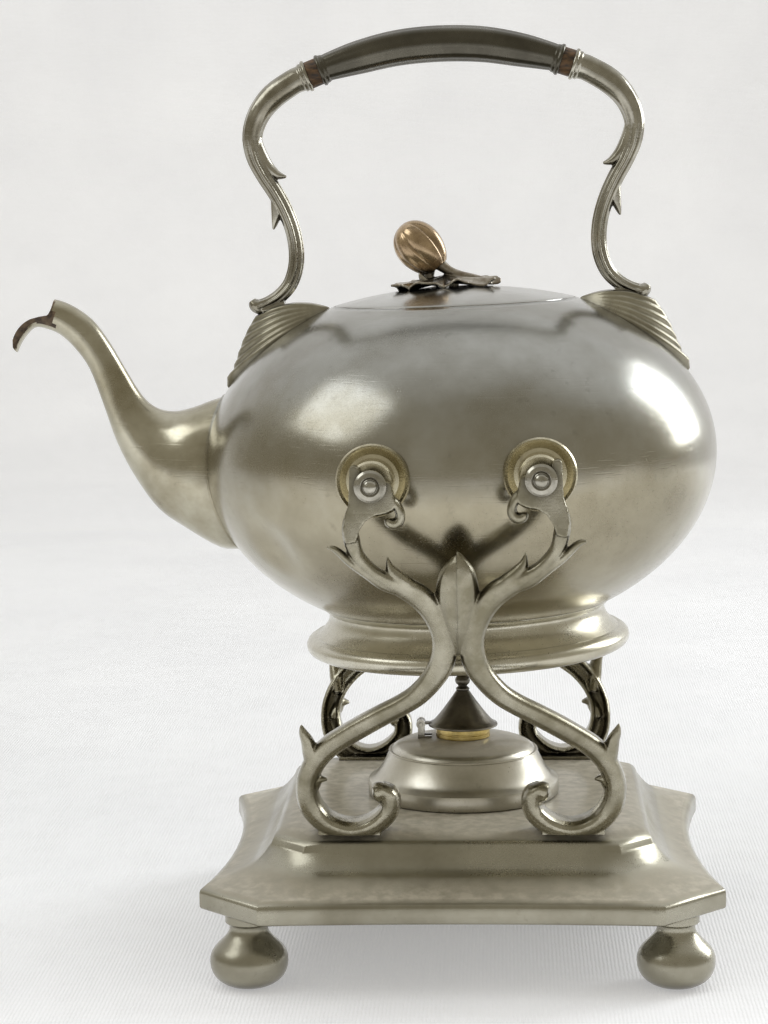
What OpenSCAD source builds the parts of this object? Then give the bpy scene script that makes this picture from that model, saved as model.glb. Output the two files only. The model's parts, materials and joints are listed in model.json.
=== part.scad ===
// Spirit kettle on its stand: a round-bodied pewter kettle that hangs by four
// trunnion pins in the open hooks of a four-armed stand, over a small spirit burner.
// The frame stands on the floor under the middle of the plinth: +Z is up, the spout
// points to -X and the front is -Y. All sizes are in millimetres.

/* [Kettle body] */
// Radius of the kettle at its widest
body_r = 100; // [94:0.5:103]
// Height of the widest circle above the floor
body_z = 188.8; // [186:0.2:192]
// Rise of the shoulder above the widest circle
shoulder_h = 68.3; // [64:0.1:72]
// Drop of the belly below the widest circle
belly_h = 70.2; // [67:0.1:72]
// Wall of the kettle, the lid and the spout
wall = 1.8; // [1.4:0.1:2.4]
// Lean of the hanging kettle towards its spout, in degrees
kettle_lean = 1.7; // [0:0.1:2.4]

/* [Foot ring of the kettle] */
// Radius where the ring meets the belly
ring_top_r = 55.5; // [52:0.5:57]
// Radius of the bead at the bottom
ring_bead_r = 63.8; // [61:0.2:66]
// Height of the ring
ring_h = 18.5; // [16:0.5:20]
// Height of the bead
bead_h = 8; // [6:0.5:9]

/* [Lid] */
// Radius of the lid
lid_r = 46.5; // [44:0.5:48]
// Rise of the lid's dome
lid_rise = 5.8; // [5:0.1:6.6]
// Gap round the lid
lid_gap = 0.4; // [0.3:0.05:0.6]
// Depth of the bezel under the lid
bezel_depth = 6; // [4:0.5:8]
// Radius of the hinge knuckles
knuckle_r = 2.2; // [2:0.1:2.6]
// Radius of the hinge pin
hinge_pin_r = 0.9; // [0.7:0.05:1.1]
// Length of the whole hinge
hinge_w = 20; // [16:1:24]

/* [Finial] */
// Half the length of the ribbed fruit
fruit_half_l = 11.8; // [11:0.1:12.5]
// Radius of the fruit
fruit_r = 9.4; // [8.8:0.1:10]
// Number of ribs on the fruit
fruit_ribs = 7; // [5:1:8]
// Tilt of the fruit's long axis from the vertical, in degrees
fruit_tilt = 40; // [30:1:50]
// Half the length of the leaf under the fruit
leaf_half_l = 20.5; // [18:0.5:22]
// Half the width of the leaf
leaf_half_w = 13; // [11:0.5:15]
// Thickness of the leaf
leaf_t = 1.4; // [1.1:0.1:1.8]

/* [Spout] */
// Reach of the pouring lip from the kettle's axis
spout_reach = 173; // [165:1:176]
// Half the width of the spout where it meets the body
spout_root_half_w = 20; // [17:0.5:22]
// Half the width of the spout's neck
spout_neck_half_w = 6.3; // [5.8:0.1:6.6]

/* [Handle] */
// Height of the grip's centre line above the widest circle
grip_rise = 159.5; // [155:0.5:164]
// Half the thickness of the grip at its middle
grip_half_t = 7; // [6.4:0.1:7.6]
// Offset of the handle towards the spout
handle_offset = 2; // [0:0.1:3]
// Distance of each insulating band from the middle of the handle
band_x = 48.9; // [46:0.1:50]
// Height of the bands above the widest circle
band_rise = 150.4; // [148:0.2:152]
// Slope of the handle at the bands, in degrees
band_slope = 20; // [17:1:23]
// Length of a band
band_l = 4.4; // [3.5:0.1:5.5]
// Radius of a band
band_r = 5.3; // [5:0.1:5.6]
// Radius of the tenon through a band
tenon_r = 3; // [2.6:0.1:3.4]
// Length of the tenon's end in the grip
tenon_l = 9; // [7:0.5:11]
// Thickness of a handle leg's narrow part
leg_t = 6.2; // [5.6:0.1:6.8]

/* [Handle brackets] */
// Number of steps in each bracket
steps = 6; // [5:1:7]
// Length of the lowest step
step_low_l = 48.5; // [46:0.5:50]
// Length of the top step
step_top_l = 29.5; // [27:0.5:31]
// Half the width of the lowest step
step_low_half_w = 12; // [10:0.5:13]
// Half the width of the top step
step_top_half_w = 6.5; // [5.5:0.5:7.5]

/* [Trunnions] */
// Distance of the pins from the middle of the kettle
pin_x = 29.8; // [28.5:0.1:31]
// Height of the spout-side pins above the floor
pin_z = 190.9; // [190:0.1:192]
// Radius of a pin
pin_r = 3.6; // [3.2:0.1:3.8]
// Radius of the dished flange on the body
flange_r = 13.2; // [12:0.1:14]
// Radius of the boss in the flange
boss_r = 7.8; // [7.2:0.1:8.6]
// Radius of the button at the pin's end
button_r = 5.7; // [5.2:0.1:6.2]
// Side play of a hook between boss and button
side_play = 0.8; // [0.6:0.1:1]
// Gap between pin and hook
hook_gap = 0.25; // [0.2:0.05:0.35]

/* [Arms] */
// Thickness of the hook plates
hook_t = 6; // [5:0.2:7]
// How far the hooks stand out past the body's widest circle, front and back
hook_out = 12; // [9:0.5:16]
// Thickness of the inner prong
inner_prong_t = 3.9; // [3.4:0.1:4.4]
// Thickness of the outer prong
outer_prong_t = 3.7; // [3.2:0.1:4]
// Height of the outer prong above the pin's centre
outer_prong_h = 6.4; // [5.5:0.1:7]
// Distance of the arms' feet from the middle, front to back
arm_foot_y = 63; // [61.5:0.5:64]
// Distance of the arms' feet from the middle, side to side
arm_foot_x = 41.5; // [39:0.5:44]
// Half the width of the bud between two arms
bud_half_w = 7.6; // [7:0.1:8.4]

/* [Plinth] */
// Half the width of the plinth at its rim
rim_half_w = 98.2; // [95:0.1:101]
// Corner cut of the rim
rim_cut = 24; // [21:0.5:27]
// Inward bow of the rim's left and right sides
rim_bow_side = 7.8; // [0:0.1:9]
// Inward bow of the rim's front and back
rim_bow_front = 2.5; // [0:0.1:9]
// Height of the deck above the floor
deck_z = 54.5; // [53:0.1:55.5]
// Half the width of the flat deck
deck_half_w = 58; // [56:0.5:60]
// Corner cut of the deck
deck_cut = 9; // [7:0.5:11]
// Height of the rim's lower edge above the floor
rim_z = 27.2; // [26:0.1:28.5]
// Height of the upright rim band
rim_h = 8; // [7:0.1:9]
// Wall of the cast plinth
plinth_wall = 2.6; // [2.2:0.1:3.2]

/* [Feet] */
// Distance of a foot's middle in from the rim's side
foot_in = 19; // [18:0.1:20.5]
// Radius of a foot's ball
foot_ball_r = 14.6; // [13.5:0.1:15.2]
// Radius of a foot's neck
foot_neck_r = 7.1; // [6.2:0.1:7.8]
// Radius of the collar under the rim
foot_collar_r = 8.7; // [8:0.1:9.4]

/* [Burner] */
// Radius of the burner's base
burner_r = 38; // [36:0.5:39]
// Height of the burner's base band
burner_band_h = 6.6; // [5.5:0.1:7.5]
// Radius of the step above the flare
burner_step_r = 29.5; // [28:0.5:31]
// Height of the step above the deck
burner_step_h = 17; // [16:0.2:18]
// Height of the burner's top above the deck
burner_top_h = 22.6; // [21.5:0.1:23]
// Wall of the burner
burner_wall = 1.2; // [1:0.1:1.6]
// Radius of the brass collar
collar_r = 10.7; // [10:0.1:11.2]
// Height of the brass collar above the burner's top
collar_h = 4.2; // [3.8:0.1:4.8]
// Radius of the wick tube
wick_tube_r = 3.6; // [3:0.1:4]
// Height of the wick tube above the collar
wick_tube_h = 5; // [4:0.5:6]

/* [Snuffer] */
// Radius of the cone's rim
cone_r = 13.8; // [13.2:0.1:14.2]
// Height of the cone
cone_h = 14.2; // [13:0.1:15]
// Wall of the cone
cone_wall = 0.9; // [0.7:0.1:1.2]
// Radius of the knob
knob_r = 3; // [2.6:0.1:3.4]
// Radius of the snuffer's hinge pin
snuffer_pin_r = 0.7; // [0.6:0.05:0.9]

/* [Hidden] */

pewter = [0.47, 0.46, 0.41];
pewter_dark = [0.34, 0.33, 0.29];
pewter_brown = [0.36, 0.29, 0.2];
brass = [0.68, 0.56, 0.27];
bone_brown = [0.33, 0.22, 0.13];
cotton = [0.85, 0.82, 0.74];

hook_y = body_r + hook_out;
foot_xy = rim_half_w - foot_in;
round_fn = 96;
ball_fn = 6;
seat = 0.06;
fit = 0.15;
left = -1;
right = 1;
front = -1;
back = 1;

// Maths shared by the swept pieces

function unit(v) = v / norm(v);
function mix(a, b, t) = a + (b - a) * t;
function ease(t) = t * t * (3 - 2 * t);
function clamp01(t) = min(1, max(0, t));
// A point on the smooth curve through four stations, between the middle two
function smooth_at(a, b, c, d, t) =
    0.5 * (2 * b + (c - a) * t + (2 * a - 5 * b + 4 * c - d) * t * t
        + (3 * b - a - 3 * c + d) * t * t * t);
// The stations with further ones set between them, n to a span
function smoothed(p, n) = let (last = len(p) - 1)
    [for (i = [0 : last - 1], k = [0 : n - 1])
        smooth_at(p[max(0, i - 1)], p[i], p[i + 1], p[min(last, i + 2)], k / n), p[last]];

// Signed volume of a mesh, which tells whether its faces look outwards
function fan_volume(points, faces) = let (v = [for (f = faces, i = [1 : len(f) - 2])
    points[f[0]] * cross(points[f[i]], points[f[i + 1]])]) v * [for (x = v) 1];
function turned(faces) = [for (f = faces) [for (i = [len(f) - 1 : -1 : 0]) f[i]]];

function middle(points) = [for (p = points) 1] * points / len(points);

// A closed skin over rings that have the same number of points, with a fan over each end
module skin(rings) {
    sides = len(rings[0]);
    count = len(rings);
    points = concat([for (r = rings, p = r) p], [middle(rings[0]), middle(rings[count - 1])]);
    walls = [for (i = [0 : count - 2], k = [0 : sides - 1])
        let (a = i * sides + k, b = i * sides + (k + 1) % sides)
        each [[a, b, b + sides], [a, b + sides, a + sides]]];
    start = [for (k = [0 : sides - 1]) [(k + 1) % sides, k, count * sides]];
    end = [for (k = [0 : sides - 1]) let (a = (count - 1) * sides)
        [a + k, a + (k + 1) % sides, count * sides + 1]];
    faces = concat(start, walls, end);
    polyhedron(points, fan_volume(points, faces) > 0 ? turned(faces) : faces, convexity = 8);
}

// Kettle frame: the kettle is drawn level and leans about its spout-side pins
module kettle_place() {
    translate([-pin_x, 0, pin_z]) rotate([0, -kettle_lean, 0]) translate([pin_x, 0, -pin_z])
        children();
}

// Profiles of the kettle

function shoulder_z(r) = body_z + shoulder_h * sqrt(max(0, 1 - pow(r / body_r, 2)));
function belly_z(r) = body_z - belly_h * sqrt(max(0, 1 - pow(r / body_r, 2)));
mouth_r = lid_r + lid_gap;
lid_edge_z = shoulder_z(lid_r);
lid_top_z = lid_edge_z + lid_rise;
lid_sphere_r = (lid_r * lid_r + lid_rise * lid_rise) / (2 * lid_rise);
function lid_z(r) = lid_top_z - lid_sphere_r + sqrt(lid_sphere_r * lid_sphere_r - r * r);
// Points of the body's outline from the bottom pole to an angle on the shoulder
function body_outline(grow, to_angle, n) = [for (i = [0 : n])
    let (a = -90 + (to_angle + 90) * i / n, h = a < 0 ? belly_h : shoulder_h)
    [(body_r + grow) * cos(a), body_z + (h + grow) * sin(a)]];

module body_form(grow) {
    rotate_extrude($fn = round_fn)
        polygon(concat(body_outline(grow, 89, 44), [[0, body_z + shoulder_h + grow]]));
}

// The shell is three rings of one wall: the belt holds the spout's water hole
water_hole_r = spout_root_half_w - 6;
water_hole_z = body_z - 4;
belt_margin = 4;
belt_low_z = water_hole_z - water_hole_r - belt_margin;
belt_high_z = water_hole_z + water_hole_r + belt_margin;
mouth_in_z = body_z + (shoulder_h - wall) * sqrt(1 - pow(mouth_r / (body_r - wall), 2));

// Angle of the outline at a height, -90 at and below the bottom pole
function outline_angle(grow, z) = let (t = (z - body_z) / ((z < body_z ? belly_h : shoulder_h) + grow))
    t < -1 ? -90 : asin(t);
function outline_span(grow, low, high, n) = let (
    from = outline_angle(grow, low),
    to = outline_angle(grow, high))
    [for (i = [0 : n]) let (a = from + (to - from) * i / n, h = a < 0 ? belly_h : shoulder_h)
        [(body_r + grow) * cos(a), body_z + (h + grow) * sin(a)]];

module shell_ring(low, high, inner_high, n) {
    outer = outline_span(0, low, high, n);
    inner = outline_span(-wall, low, inner_high, n);
    rotate_extrude($fn = round_fn)
        polygon(concat(outer, [for (i = [n : -1 : 0]) inner[i]]));
}

module kettle_bowl() {
    color(pewter) kettle_place()
        shell_ring(body_z - belly_h - 1, belt_low_z, belt_low_z, 20);
}

module kettle_belt() {
    color(pewter) kettle_place() difference() {
        shell_ring(belt_low_z, belt_high_z, belt_high_z, 10);
        translate([-body_r, 0, water_hole_z]) rotate([0, 90, 0])
            cylinder(r = water_hole_r, h = 2 * water_hole_r, center = true, $fn = 64);
    }
}

module kettle_shoulder() {
    color(pewter) kettle_place()
        shell_ring(belt_high_z, shoulder_z(mouth_r), mouth_in_z, 14);
}

ring_top_z = belly_z(ring_top_r);
ring_bottom_z = ring_top_z - ring_h;

module kettle_foot_ring() {
    neck_r = ring_top_r - 1.4;
    lip_r = ring_bead_r - 4.2;
    bead_z = ring_bottom_z + bead_h;
    color(pewter) kettle_place() difference() {
        rotate_extrude($fn = round_fn) polygon(concat(
            [[ring_top_r - 6, ring_top_z + 3], [ring_top_r + 0.6, ring_top_z + 1.5],
             [ring_top_r + 0.4, ring_top_z - 0.6]],
            [for (i = [0 : 6]) let (t = i / 6)
                [neck_r + (lip_r - neck_r) * pow(t, 2.2), mix(ring_top_z - 2, bead_z, t)]],
            [[lip_r + 1.6, bead_z - 0.3]],
            [for (a = [70 : -20 : -70])
                [ring_bead_r - 3.6 + 3.6 * cos(a), ring_bottom_z + 4 + 3.6 * sin(a)]],
            [[ring_bead_r - 4.4, ring_bottom_z], [ring_bead_r - 6.5, ring_bottom_z],
             [ring_top_r - 3.4, ring_bottom_z + 8], [ring_top_r - 6, ring_top_z - 2]]));
        body_form(seat);
    }
}

// Spout: stations with an upper and a lower edge point in the kettle's middle plane

// Each station: upper point's distance out from the body's side, its height above the widest
// circle, the lower point's two values and the half width
lip_out = 73;
spout_stretch = (spout_reach - body_r) / lip_out;
function spout_x(out) = -body_r - out * spout_stretch;
root_w = spout_root_half_w;
neck_w = spout_neck_half_w;
spout_stations = [
    [-14, 28, -16, -34, root_w], [-3, 25, -5, -33, root_w],
    [4.5, 22.9, 10, -24.5, mix(neck_w, root_w, 0.86)],
    [12, 21.6, 20, -16.8, mix(neck_w, root_w, 0.62)],
    [18.9, 23.2, 28.6, -4.2, mix(neck_w, root_w, 0.34)],
    [24.4, 28.2, 35.3, 10, mix(neck_w, root_w, 0.14)],
    [30, 38, 40, 25.6, neck_w], [36, 49.5, 44.6, 39.6, neck_w],
    [42.6, 59, 50, 48, neck_w], [50.6, 65, 55.6, 53.6, neck_w],
    [57.2, 67.7, 60.6, 56.2, neck_w]];
lip_stations = [
    [56, 66.6, 60, 56, neck_w - 0.6], [58.4, 64, 62, 56.9, neck_w - 0.5],
    [63, 63, 65, 57.4, neck_w - 1.2], [68.4, 60.2, 69, 56, neck_w - 2.4],
    [71.8, 56.6, 71.6, 53, neck_w - 3.8], [73, 53.6, 72.4, 51.8, neck_w - 5]];

function spout_ring(s, shrink, sides) = let (
    up = [spout_x(s[0]), 0, body_z + s[1]],
    low = [spout_x(s[2]), 0, body_z + s[3]],
    mid = (up + low) / 2,
    arm = unit(up - low) * (norm(up - low) / 2 - shrink))
    [for (k = [0 : sides - 1]) let (a = 360 * k / sides)
        mid + arm * cos(a) + [0, (s[4] - shrink) * sin(a), 0]];

module spout_loft(stations, shrink, n, sides) {
    skin([for (s = smoothed(stations, n)) spout_ring(s, shrink, sides)]);
}

module spout() {
    bore_wall = wall - 0.3;
    // The bore runs on past the mouth and opens the pouring lip from above
    lip_bore = [for (i = [0 : len(lip_stations) - 2]) let (s = lip_stations[i])
        [s[0] - 1.1, s[1] + (i == 0 ? 1 : 9), s[2] - 1.4, s[3] + 0.2, max(s[4], 2.6)]];
    color(pewter) kettle_place() difference() {
        union() {
            spout_loft(spout_stations, 0, 2, 16);
            spout_loft(lip_stations, 0, 1, 16);
            // Raised line of the soldered joint on the body
            intersection() {
                spout_loft([for (i = [0 : 3]) spout_stations[i]], -0.9, 1, 16);
                body_form(1.1);
            }
        }
        spout_loft(concat([for (i = [0 : len(spout_stations) - 2]) spout_stations[i]], [lip_bore[0]]),
            bore_wall, 1, 12);
        spout_loft(lip_bore, bore_wall, 1, 12);
        body_form(seat);
    }
}

// Lid

seat_ring_z = lid_edge_z - wall - 0.6;

module lid_seat_ring() {
    color(pewter_dark) kettle_place() rotate_extrude($fn = round_fn) polygon([
        [mouth_r - 3.6, seat_ring_z], [mouth_r - 3.6, seat_ring_z - 1.2],
        [mouth_r - 0.4, seat_ring_z - 2.2],
        [mouth_r + 2.6, shoulder_z(mouth_r + 2.6) - wall - 1.4],
        [mouth_r + 2.6, shoulder_z(mouth_r + 2.6) - wall - 0.3],
        [mouth_r, shoulder_z(mouth_r) - wall - 0.1], [mouth_r - 0.2, seat_ring_z]]);
}

module lid_dome() {
    skirt_z = seat_ring_z + 0.12;
    top = [for (i = [12 : -1 : 0]) let (r = lid_r * i / 12) [r, lid_z(r)]];
    under = [for (i = [0 : 12]) let (r = (lid_r - 1.6) * i / 12) [r, lid_z(r) - wall]];
    color(pewter) kettle_place() difference() {
        rotate_extrude($fn = round_fn)
            polygon(concat(top, under, [[lid_r - 1.6, skirt_z], [lid_r, skirt_z]]));
        translate([0, 0, lid_top_z - wall - 1]) cylinder(r = stud_r + fit, h = wall + 2, $fn = 32);
    }
}

bezel_r = mouth_r - 5.2;

module lid_bezel() {
    color(pewter_dark) kettle_place() rotate_extrude($fn = round_fn) polygon([
        [bezel_r, seat_ring_z - bezel_depth], [bezel_r, lid_z(bezel_r) - wall],
        [bezel_r - 1.2, lid_z(bezel_r - 1.2) - wall], [bezel_r - 1.2, seat_ring_z - bezel_depth]]);
}

// Lid hinge: its axis lies behind the lid's edge, just above the shoulder
hinge_y = lid_r + 2.5;
hinge_z = lid_edge_z + 1.9;
middle_knuckle_w = hinge_w / 3;
knuckle_gap = 0.15;

module knuckle(w, r) {
    rotate([0, 90, 0]) cylinder(r = r, h = w, center = true, $fn = 32);
}

module body_hinge() {
    side_w = (hinge_w - middle_knuckle_w) / 2 - knuckle_gap;
    color(pewter) kettle_place() difference() {
        for (s = [left, right]) translate([s * (hinge_w - side_w) / 2, hinge_y, hinge_z]) {
            knuckle(side_w, knuckle_r);
            // Foot of the knuckle on the shoulder behind it
            rotate([18, 0, 0]) translate([-side_w / 2, 0, -knuckle_r - 2.2])
                cube([side_w, 7, 3.4]);
        }
        translate([0, hinge_y, hinge_z]) knuckle(hinge_w + 2, hinge_pin_r + 0.04);
        body_form(seat);
    }
}

module lid_hinge_pin() {
    color(pewter_dark) kettle_place() translate([0, hinge_y, hinge_z])
        knuckle(hinge_w + 0.8, hinge_pin_r);
}

// The leaf is flat, and touches the dome along its middle
module lid_hinge_leaf() {
    leaf_l = 11;
    leaf_thick = 1.3;
    leaf_r = lid_r - 0.8 - leaf_l / 2;
    tongue_w = middle_knuckle_w - knuckle_gap;
    tongue_low = lid_edge_z + 0.5;
    color(pewter) kettle_place() difference() {
        union() {
            translate([0, hinge_y, hinge_z]) knuckle(tongue_w, knuckle_r);
            translate([-tongue_w / 2, lid_r - 1.5, tongue_low])
                cube([tongue_w, hinge_y - lid_r + 1.5 - 1.3, leaf_thick]);
            translate([0, leaf_r, lid_z(leaf_r) + seat]) rotate([-asin(leaf_r / lid_sphere_r), 0, 0])
                translate([-hinge_w / 2, -leaf_l / 2, 0]) cube([hinge_w, leaf_l, leaf_thick]);
        }
        translate([0, hinge_y, hinge_z]) knuckle(hinge_w, hinge_pin_r + 0.04);
    }
}

// Finial: a ribbed fruit on a ruffled leaf, held by a stud through the lid

stud_r = 2;
leaf_x = -3;
leaf_base_z = lid_top_z + 0.5;

// Half thickness, edge and ruffle of the leaf at a direction and a share of its reach
function leaf_reach(a) = 1 + 0.11 * cos(9 * a) - 0.07 * cos(4 * a);
function leaf_point(a, t, up) = let (
    x = leaf_x + leaf_half_l * leaf_reach(a) * t * cos(a),
    y = leaf_half_w * leaf_reach(a) * t * sin(a),
    ruffle = 1.15 * t * t * (1 + sin(9 * a + 40)))
    [x, y, lid_z(norm([x, y])) + 0.15 + ruffle + 0.9 * (1 - t) + up * mix(leaf_t, 0.6, t)];

module finial_leaf() {
    around = 36;
    shares = [0.28, 0.64, 1];
    rings = concat([for (t = shares) [for (k = [0 : around - 1]) leaf_point(360 * k / around, t, 0)]],
        [for (i = [2 : -1 : 0]) [for (k = [0 : around - 1]) leaf_point(360 * k / around, shares[i], 1)]]);
    color(pewter_brown) kettle_place() difference() {
        union() {
            skin([for (i = [len(rings) - 1 : -1 : 0]) rings[i]]);
            // Stalk that climbs from the leaf to the fruit
            for (i = [0 : len(stalk) - 2]) hull() for (j = [0, 1])
                translate([stalk[i + j][0], 0, leaf_base_z + stalk[i + j][1]])
                    sphere(r = stalk[i + j][2], $fn = ball_fn);
            // Leaf curled up under the fruit
            for (s = [left, right], i = [0, 1]) hull() for (j = [0, 1])
                translate([-11.5 + 1.2 * (i + j), s * (4.6 - 0.8 * (i + j)),
                    leaf_base_z + 1 + 1.1 * (i + j)])
                    sphere(r = 1.5 - 0.25 * (i + j), $fn = ball_fn);
        }
        // Flat seat of the fruit
        at_fruit() translate([0, 0, -fruit_seat]) cylinder(r = 5, h = 10, $fn = 24);
        translate([0, 0, lid_top_z - 5]) cylinder(r = stud_r + 0.02, h = 6.6, $fn = 32);
    }
}
// Each point of the stalk: x, height over the leaf's middle, radius
stalk = [[12, 1.2, 1.6], [7, 2.2, 1.9], [2.6, 3.4, 1.9], [-1.6, 5, 2], [-4.6, 7.2, 2.4]];
fruit_c = [-12.2, 0, leaf_base_z + 14.6];

// Frame of the fruit, its long axis tilted in the kettle's middle plane
module at_fruit() {
    translate(fruit_c) rotate([0, -fruit_tilt, 0]) children();
}
fruit_seat = fruit_half_l - 1.6;

// Fruit with rounded ribs and a flat lower end
module finial_fruit() {
    sides = fruit_ribs * 4;
    n = 9;
    low = -asin((fruit_seat - seat) / fruit_half_l);
    color(pewter_brown) kettle_place() at_fruit() skin([for (i = [0 : n])
        let (a = mix(low, 84, i / n), r = fruit_r * cos(a) * (1 + 0.1 * sin(a)))
        [for (k = [0 : sides - 1]) let (b = 360 * k / sides, rib = 0.95 + 0.05 * cos(fruit_ribs * b))
            [r * rib * cos(b), r * rib * sin(b), fruit_half_l * sin(a)]]]);
}

module finial_stud() {
    color(pewter_dark) kettle_place() {
        translate([0, 0, lid_top_z - wall - 4]) cylinder(r = stud_r, h = wall + 5.4, $fn = 32);
        translate([0, 0, lid_top_z - wall - 3.2]) cylinder(r = stud_r + 2, h = 2.6, $fn = 6);
    }
}

// Handle, drawn for the right side and mirrored for the left

band_z = body_z + band_rise;
band_dir = [cos(band_slope), -sin(band_slope)];
band_c = [band_x, band_z];
grip_z = body_z + grip_rise;
bracket_tip = [lid_r + 2.5, shoulder_z(lid_r + 2.5) + 0.4];
toe_z = bracket_tip[1] + 2.26;
leg_a = leg_t / 2;

// Handle frame: drawn round its own middle, and mirrored from side to side
module handle_place(side = 1) {
    kettle_place() translate([-handle_offset, 0, 0]) scale([side, 1, 1]) children();
}

module at_band() {
    translate([band_x, 0, band_z]) rotate([0, 90 + band_slope, 0]) children();
}

// Ring of a flat sweep in the XZ plane: station x, z, half width, half depth
function flat_ring(p, t, shape) = let (n = [-t[1], t[0]])
    [for (q = shape) [p[0] + n[0] * q[0] * p[2], q[1] * p[3], p[1] + n[1] * q[0] * p[2]]];
function tangent(p, i) = let (a = p[max(0, i - 1)], b = p[min(len(p) - 1, i + 1)])
    unit([b[0] - a[0], b[1] - a[1]]);
function round_shape(n) = [for (k = [0 : n - 1]) [cos(360 * k / n), sin(360 * k / n)]];

module flat_sweep(stations, n, shape) {
    p = smoothed(stations, n);
    skin([for (i = [0 : len(p) - 1]) flat_ring(p[i], tangent(p, i), shape)]);
}

module flat_stroke(stations) {
    for (i = [0 : len(stations) - 2]) hull() for (j = [0, 1]) {
        s = stations[i + j];
        translate([s[0], 0, s[1]]) scale([s[2], s[3], s[2]]) sphere(r = 1, $fn = ball_fn);
    }
}

function along_band(d, a) = [band_c[0] + band_dir[0] * d, band_c[1] + band_dir[1] * d, a, a];

// The grip and the legs end this far inside their turned collars
collar_lap = 0.4;

module handle_grip() {
    half = [[grip_half_t * 2.3, grip_z - 0.9, grip_half_t - 0.1, grip_half_t - 0.1],
        [grip_half_t * 4.4, grip_z - 3.7, grip_half_t - 0.5, grip_half_t - 0.5],
        along_band(-7.5, band_r + 0.2), along_band(-band_l / 2 - collar_lap, band_r)];
    flip = [for (i = [3 : -1 : 0]) [-half[i][0], half[i][1], half[i][2], half[i][3]]];
    color(pewter_dark) handle_place() difference() {
        union() {
            flat_sweep(concat(flip, [[0, grip_z, grip_half_t, grip_half_t]], half), 2, round_shape(16));
            for (s = [left, right]) scale([s, 1, 1]) at_band()
                translate([0, 0, -band_l / 2 - 1.5]) cylinder(r = band_r + 0.5, h = 1.5, $fn = 20);
        }
        for (s = [left, right]) scale([s, 1, 1]) at_band()
            translate([0, 0, -band_l / 2 - tenon_l - 0.4])
                cylinder(r = tenon_r + fit, h = tenon_l + 1, $fn = 24);
    }
}

module insulator(side) {
    color(bone_brown) handle_place(side) at_band() difference() {
        cylinder(r = band_r, h = band_l - 0.04, center = true, $fn = 48);
        cylinder(r = tenon_r + fit, h = band_l + 2, center = true, $fn = 48);
    }
}

leg_stations = [along_band(band_l / 2 + collar_lap, band_r - 0.2), along_band(8.5, band_r - 0.35),
    [65, band_z - 8, leg_a + 1.9, leg_a + 2.2], [70.9, band_z - 14.6, leg_a + 1.4, leg_a + 1.9],
    [73.9, band_z - 22.6, leg_a + 0.9, leg_a + 1.6], [73.4, band_z - 30.6, leg_a + 0.5, leg_a + 1.4],
    [70.4, band_z - 37.8, leg_a + 0.2, leg_a + 1.3], [66.2, band_z - 44.8, leg_a + 0.2, leg_a + 1.3],
    [62.6, band_z - 52, leg_a + 0.1, leg_a + 1.3], [60, toe_z + 28.6, leg_a, leg_a + 1.3],
    [58.9, toe_z + 21, leg_a, leg_a + 1.3], [59.4, toe_z + 14, leg_a, leg_a + 1.3],
    [61.8, toe_z + 7.6, leg_a - 0.1, leg_a + 1.4], [65.8, toe_z + 3.2, leg_a - 0.2, leg_a + 1.6],
    [70.6, toe_z + 0.4, leg_a - 0.4, leg_a + 1.8], [75, toe_z - 1, leg_a - 0.4, leg_a + 2]];
leg_leaf_in = [[71.4, band_z - 28, 2.2, 3], [68.6, band_z - 34.6, 2.3, 3], [65.4, band_z - 38.2, 1.9, 2.6],
    [61.8, band_z - 39, 0.8, 1.4]];
leg_leaf_out = [[66, band_z - 47.5, 2, 3], [66, band_z - 54, 2, 2.6], [67.2, band_z - 58.6, 0.8, 1.4]];
leg_toe = [[73.4, toe_z - 0.8, 2.8, 4.8], [75.8, toe_z - 0.4, 2.9, 4.6], [77, toe_z + 0.8, 1.7, 3.6]];
leg_seat = [[66.5, toe_z - 1.2, 2.8, 4.4], [72.5, toe_z - 2.2, 2.6, 4.8]];

module handle_leg(side) {
    color(pewter) handle_place(side) difference() {
        union() {
            flat_sweep(leg_stations, 1, round_shape(12));
            flat_stroke(leg_leaf_in);
            flat_stroke(leg_leaf_out);
            flat_stroke(leg_toe);
            flat_stroke(leg_seat);
            at_band() {
                translate([0, 0, band_l / 2]) cylinder(r = band_r + 0.5, h = 1.5, $fn = 20);
                translate([0, 0, -band_l / 2 - tenon_l])
                    cylinder(r = tenon_r, h = tenon_l + band_l + 1, $fn = 24);
            }
        }
        translate([side * handle_offset, 0, 0]) bracket_form(seat);
    }
}

// Stepped bracket under each leg: its steps fan out from the tip beside the lid

function step_l(t) = mix(step_low_l, step_top_l, pow(t, 0.8));
function step_w(t) = mix(step_low_half_w, step_top_half_w, t);
function step_slope(t) = mix(31.4, 4.9, pow(t, 1.2));
function step_bulge(t) = mix(2.4, 3.5, t);

// Outline with two round sides that meet in points
function vesica(l, half_w, n = 10) = let (
    r = (l * l / 4 + half_w * half_w) / (2 * half_w),
    reach = asin(l / 2 / r),
    arc = [for (k = [0 : n]) let (a = mix(-reach, reach, k / n))
        [l / 2 + r * sin(a), half_w - r + r * cos(a)]])
    concat(arc, [for (k = [n - 1 : -1 : 1]) [arc[k][0], -arc[k][1]]]);

// Each step is pointed at both ends and arched along its length
module bracket_form(grow) {
    drop = 2.4;
    for (i = [0 : steps - 1]) {
        t = i / (steps - 1);
        l = step_l(t);
        translate([bracket_tip[0], 0, bracket_tip[1]]) rotate([0, step_slope(t), 0]) intersection() {
            translate([0, 0, -10]) linear_extrude(20) polygon(vesica(l + drop, step_w(t) + grow));
            rotate([90, 0, 0]) linear_extrude(2 * step_w(t) + 2, center = true) polygon(concat([[-1, -11]],
                [for (k = [0 : 8]) let (u = k / 8) [l * u, grow + step_bulge(t) * 4 * u * (1 - u)]],
                [[l + drop, -3.4], [l + drop, -11]]));
        }
    }
}

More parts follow.
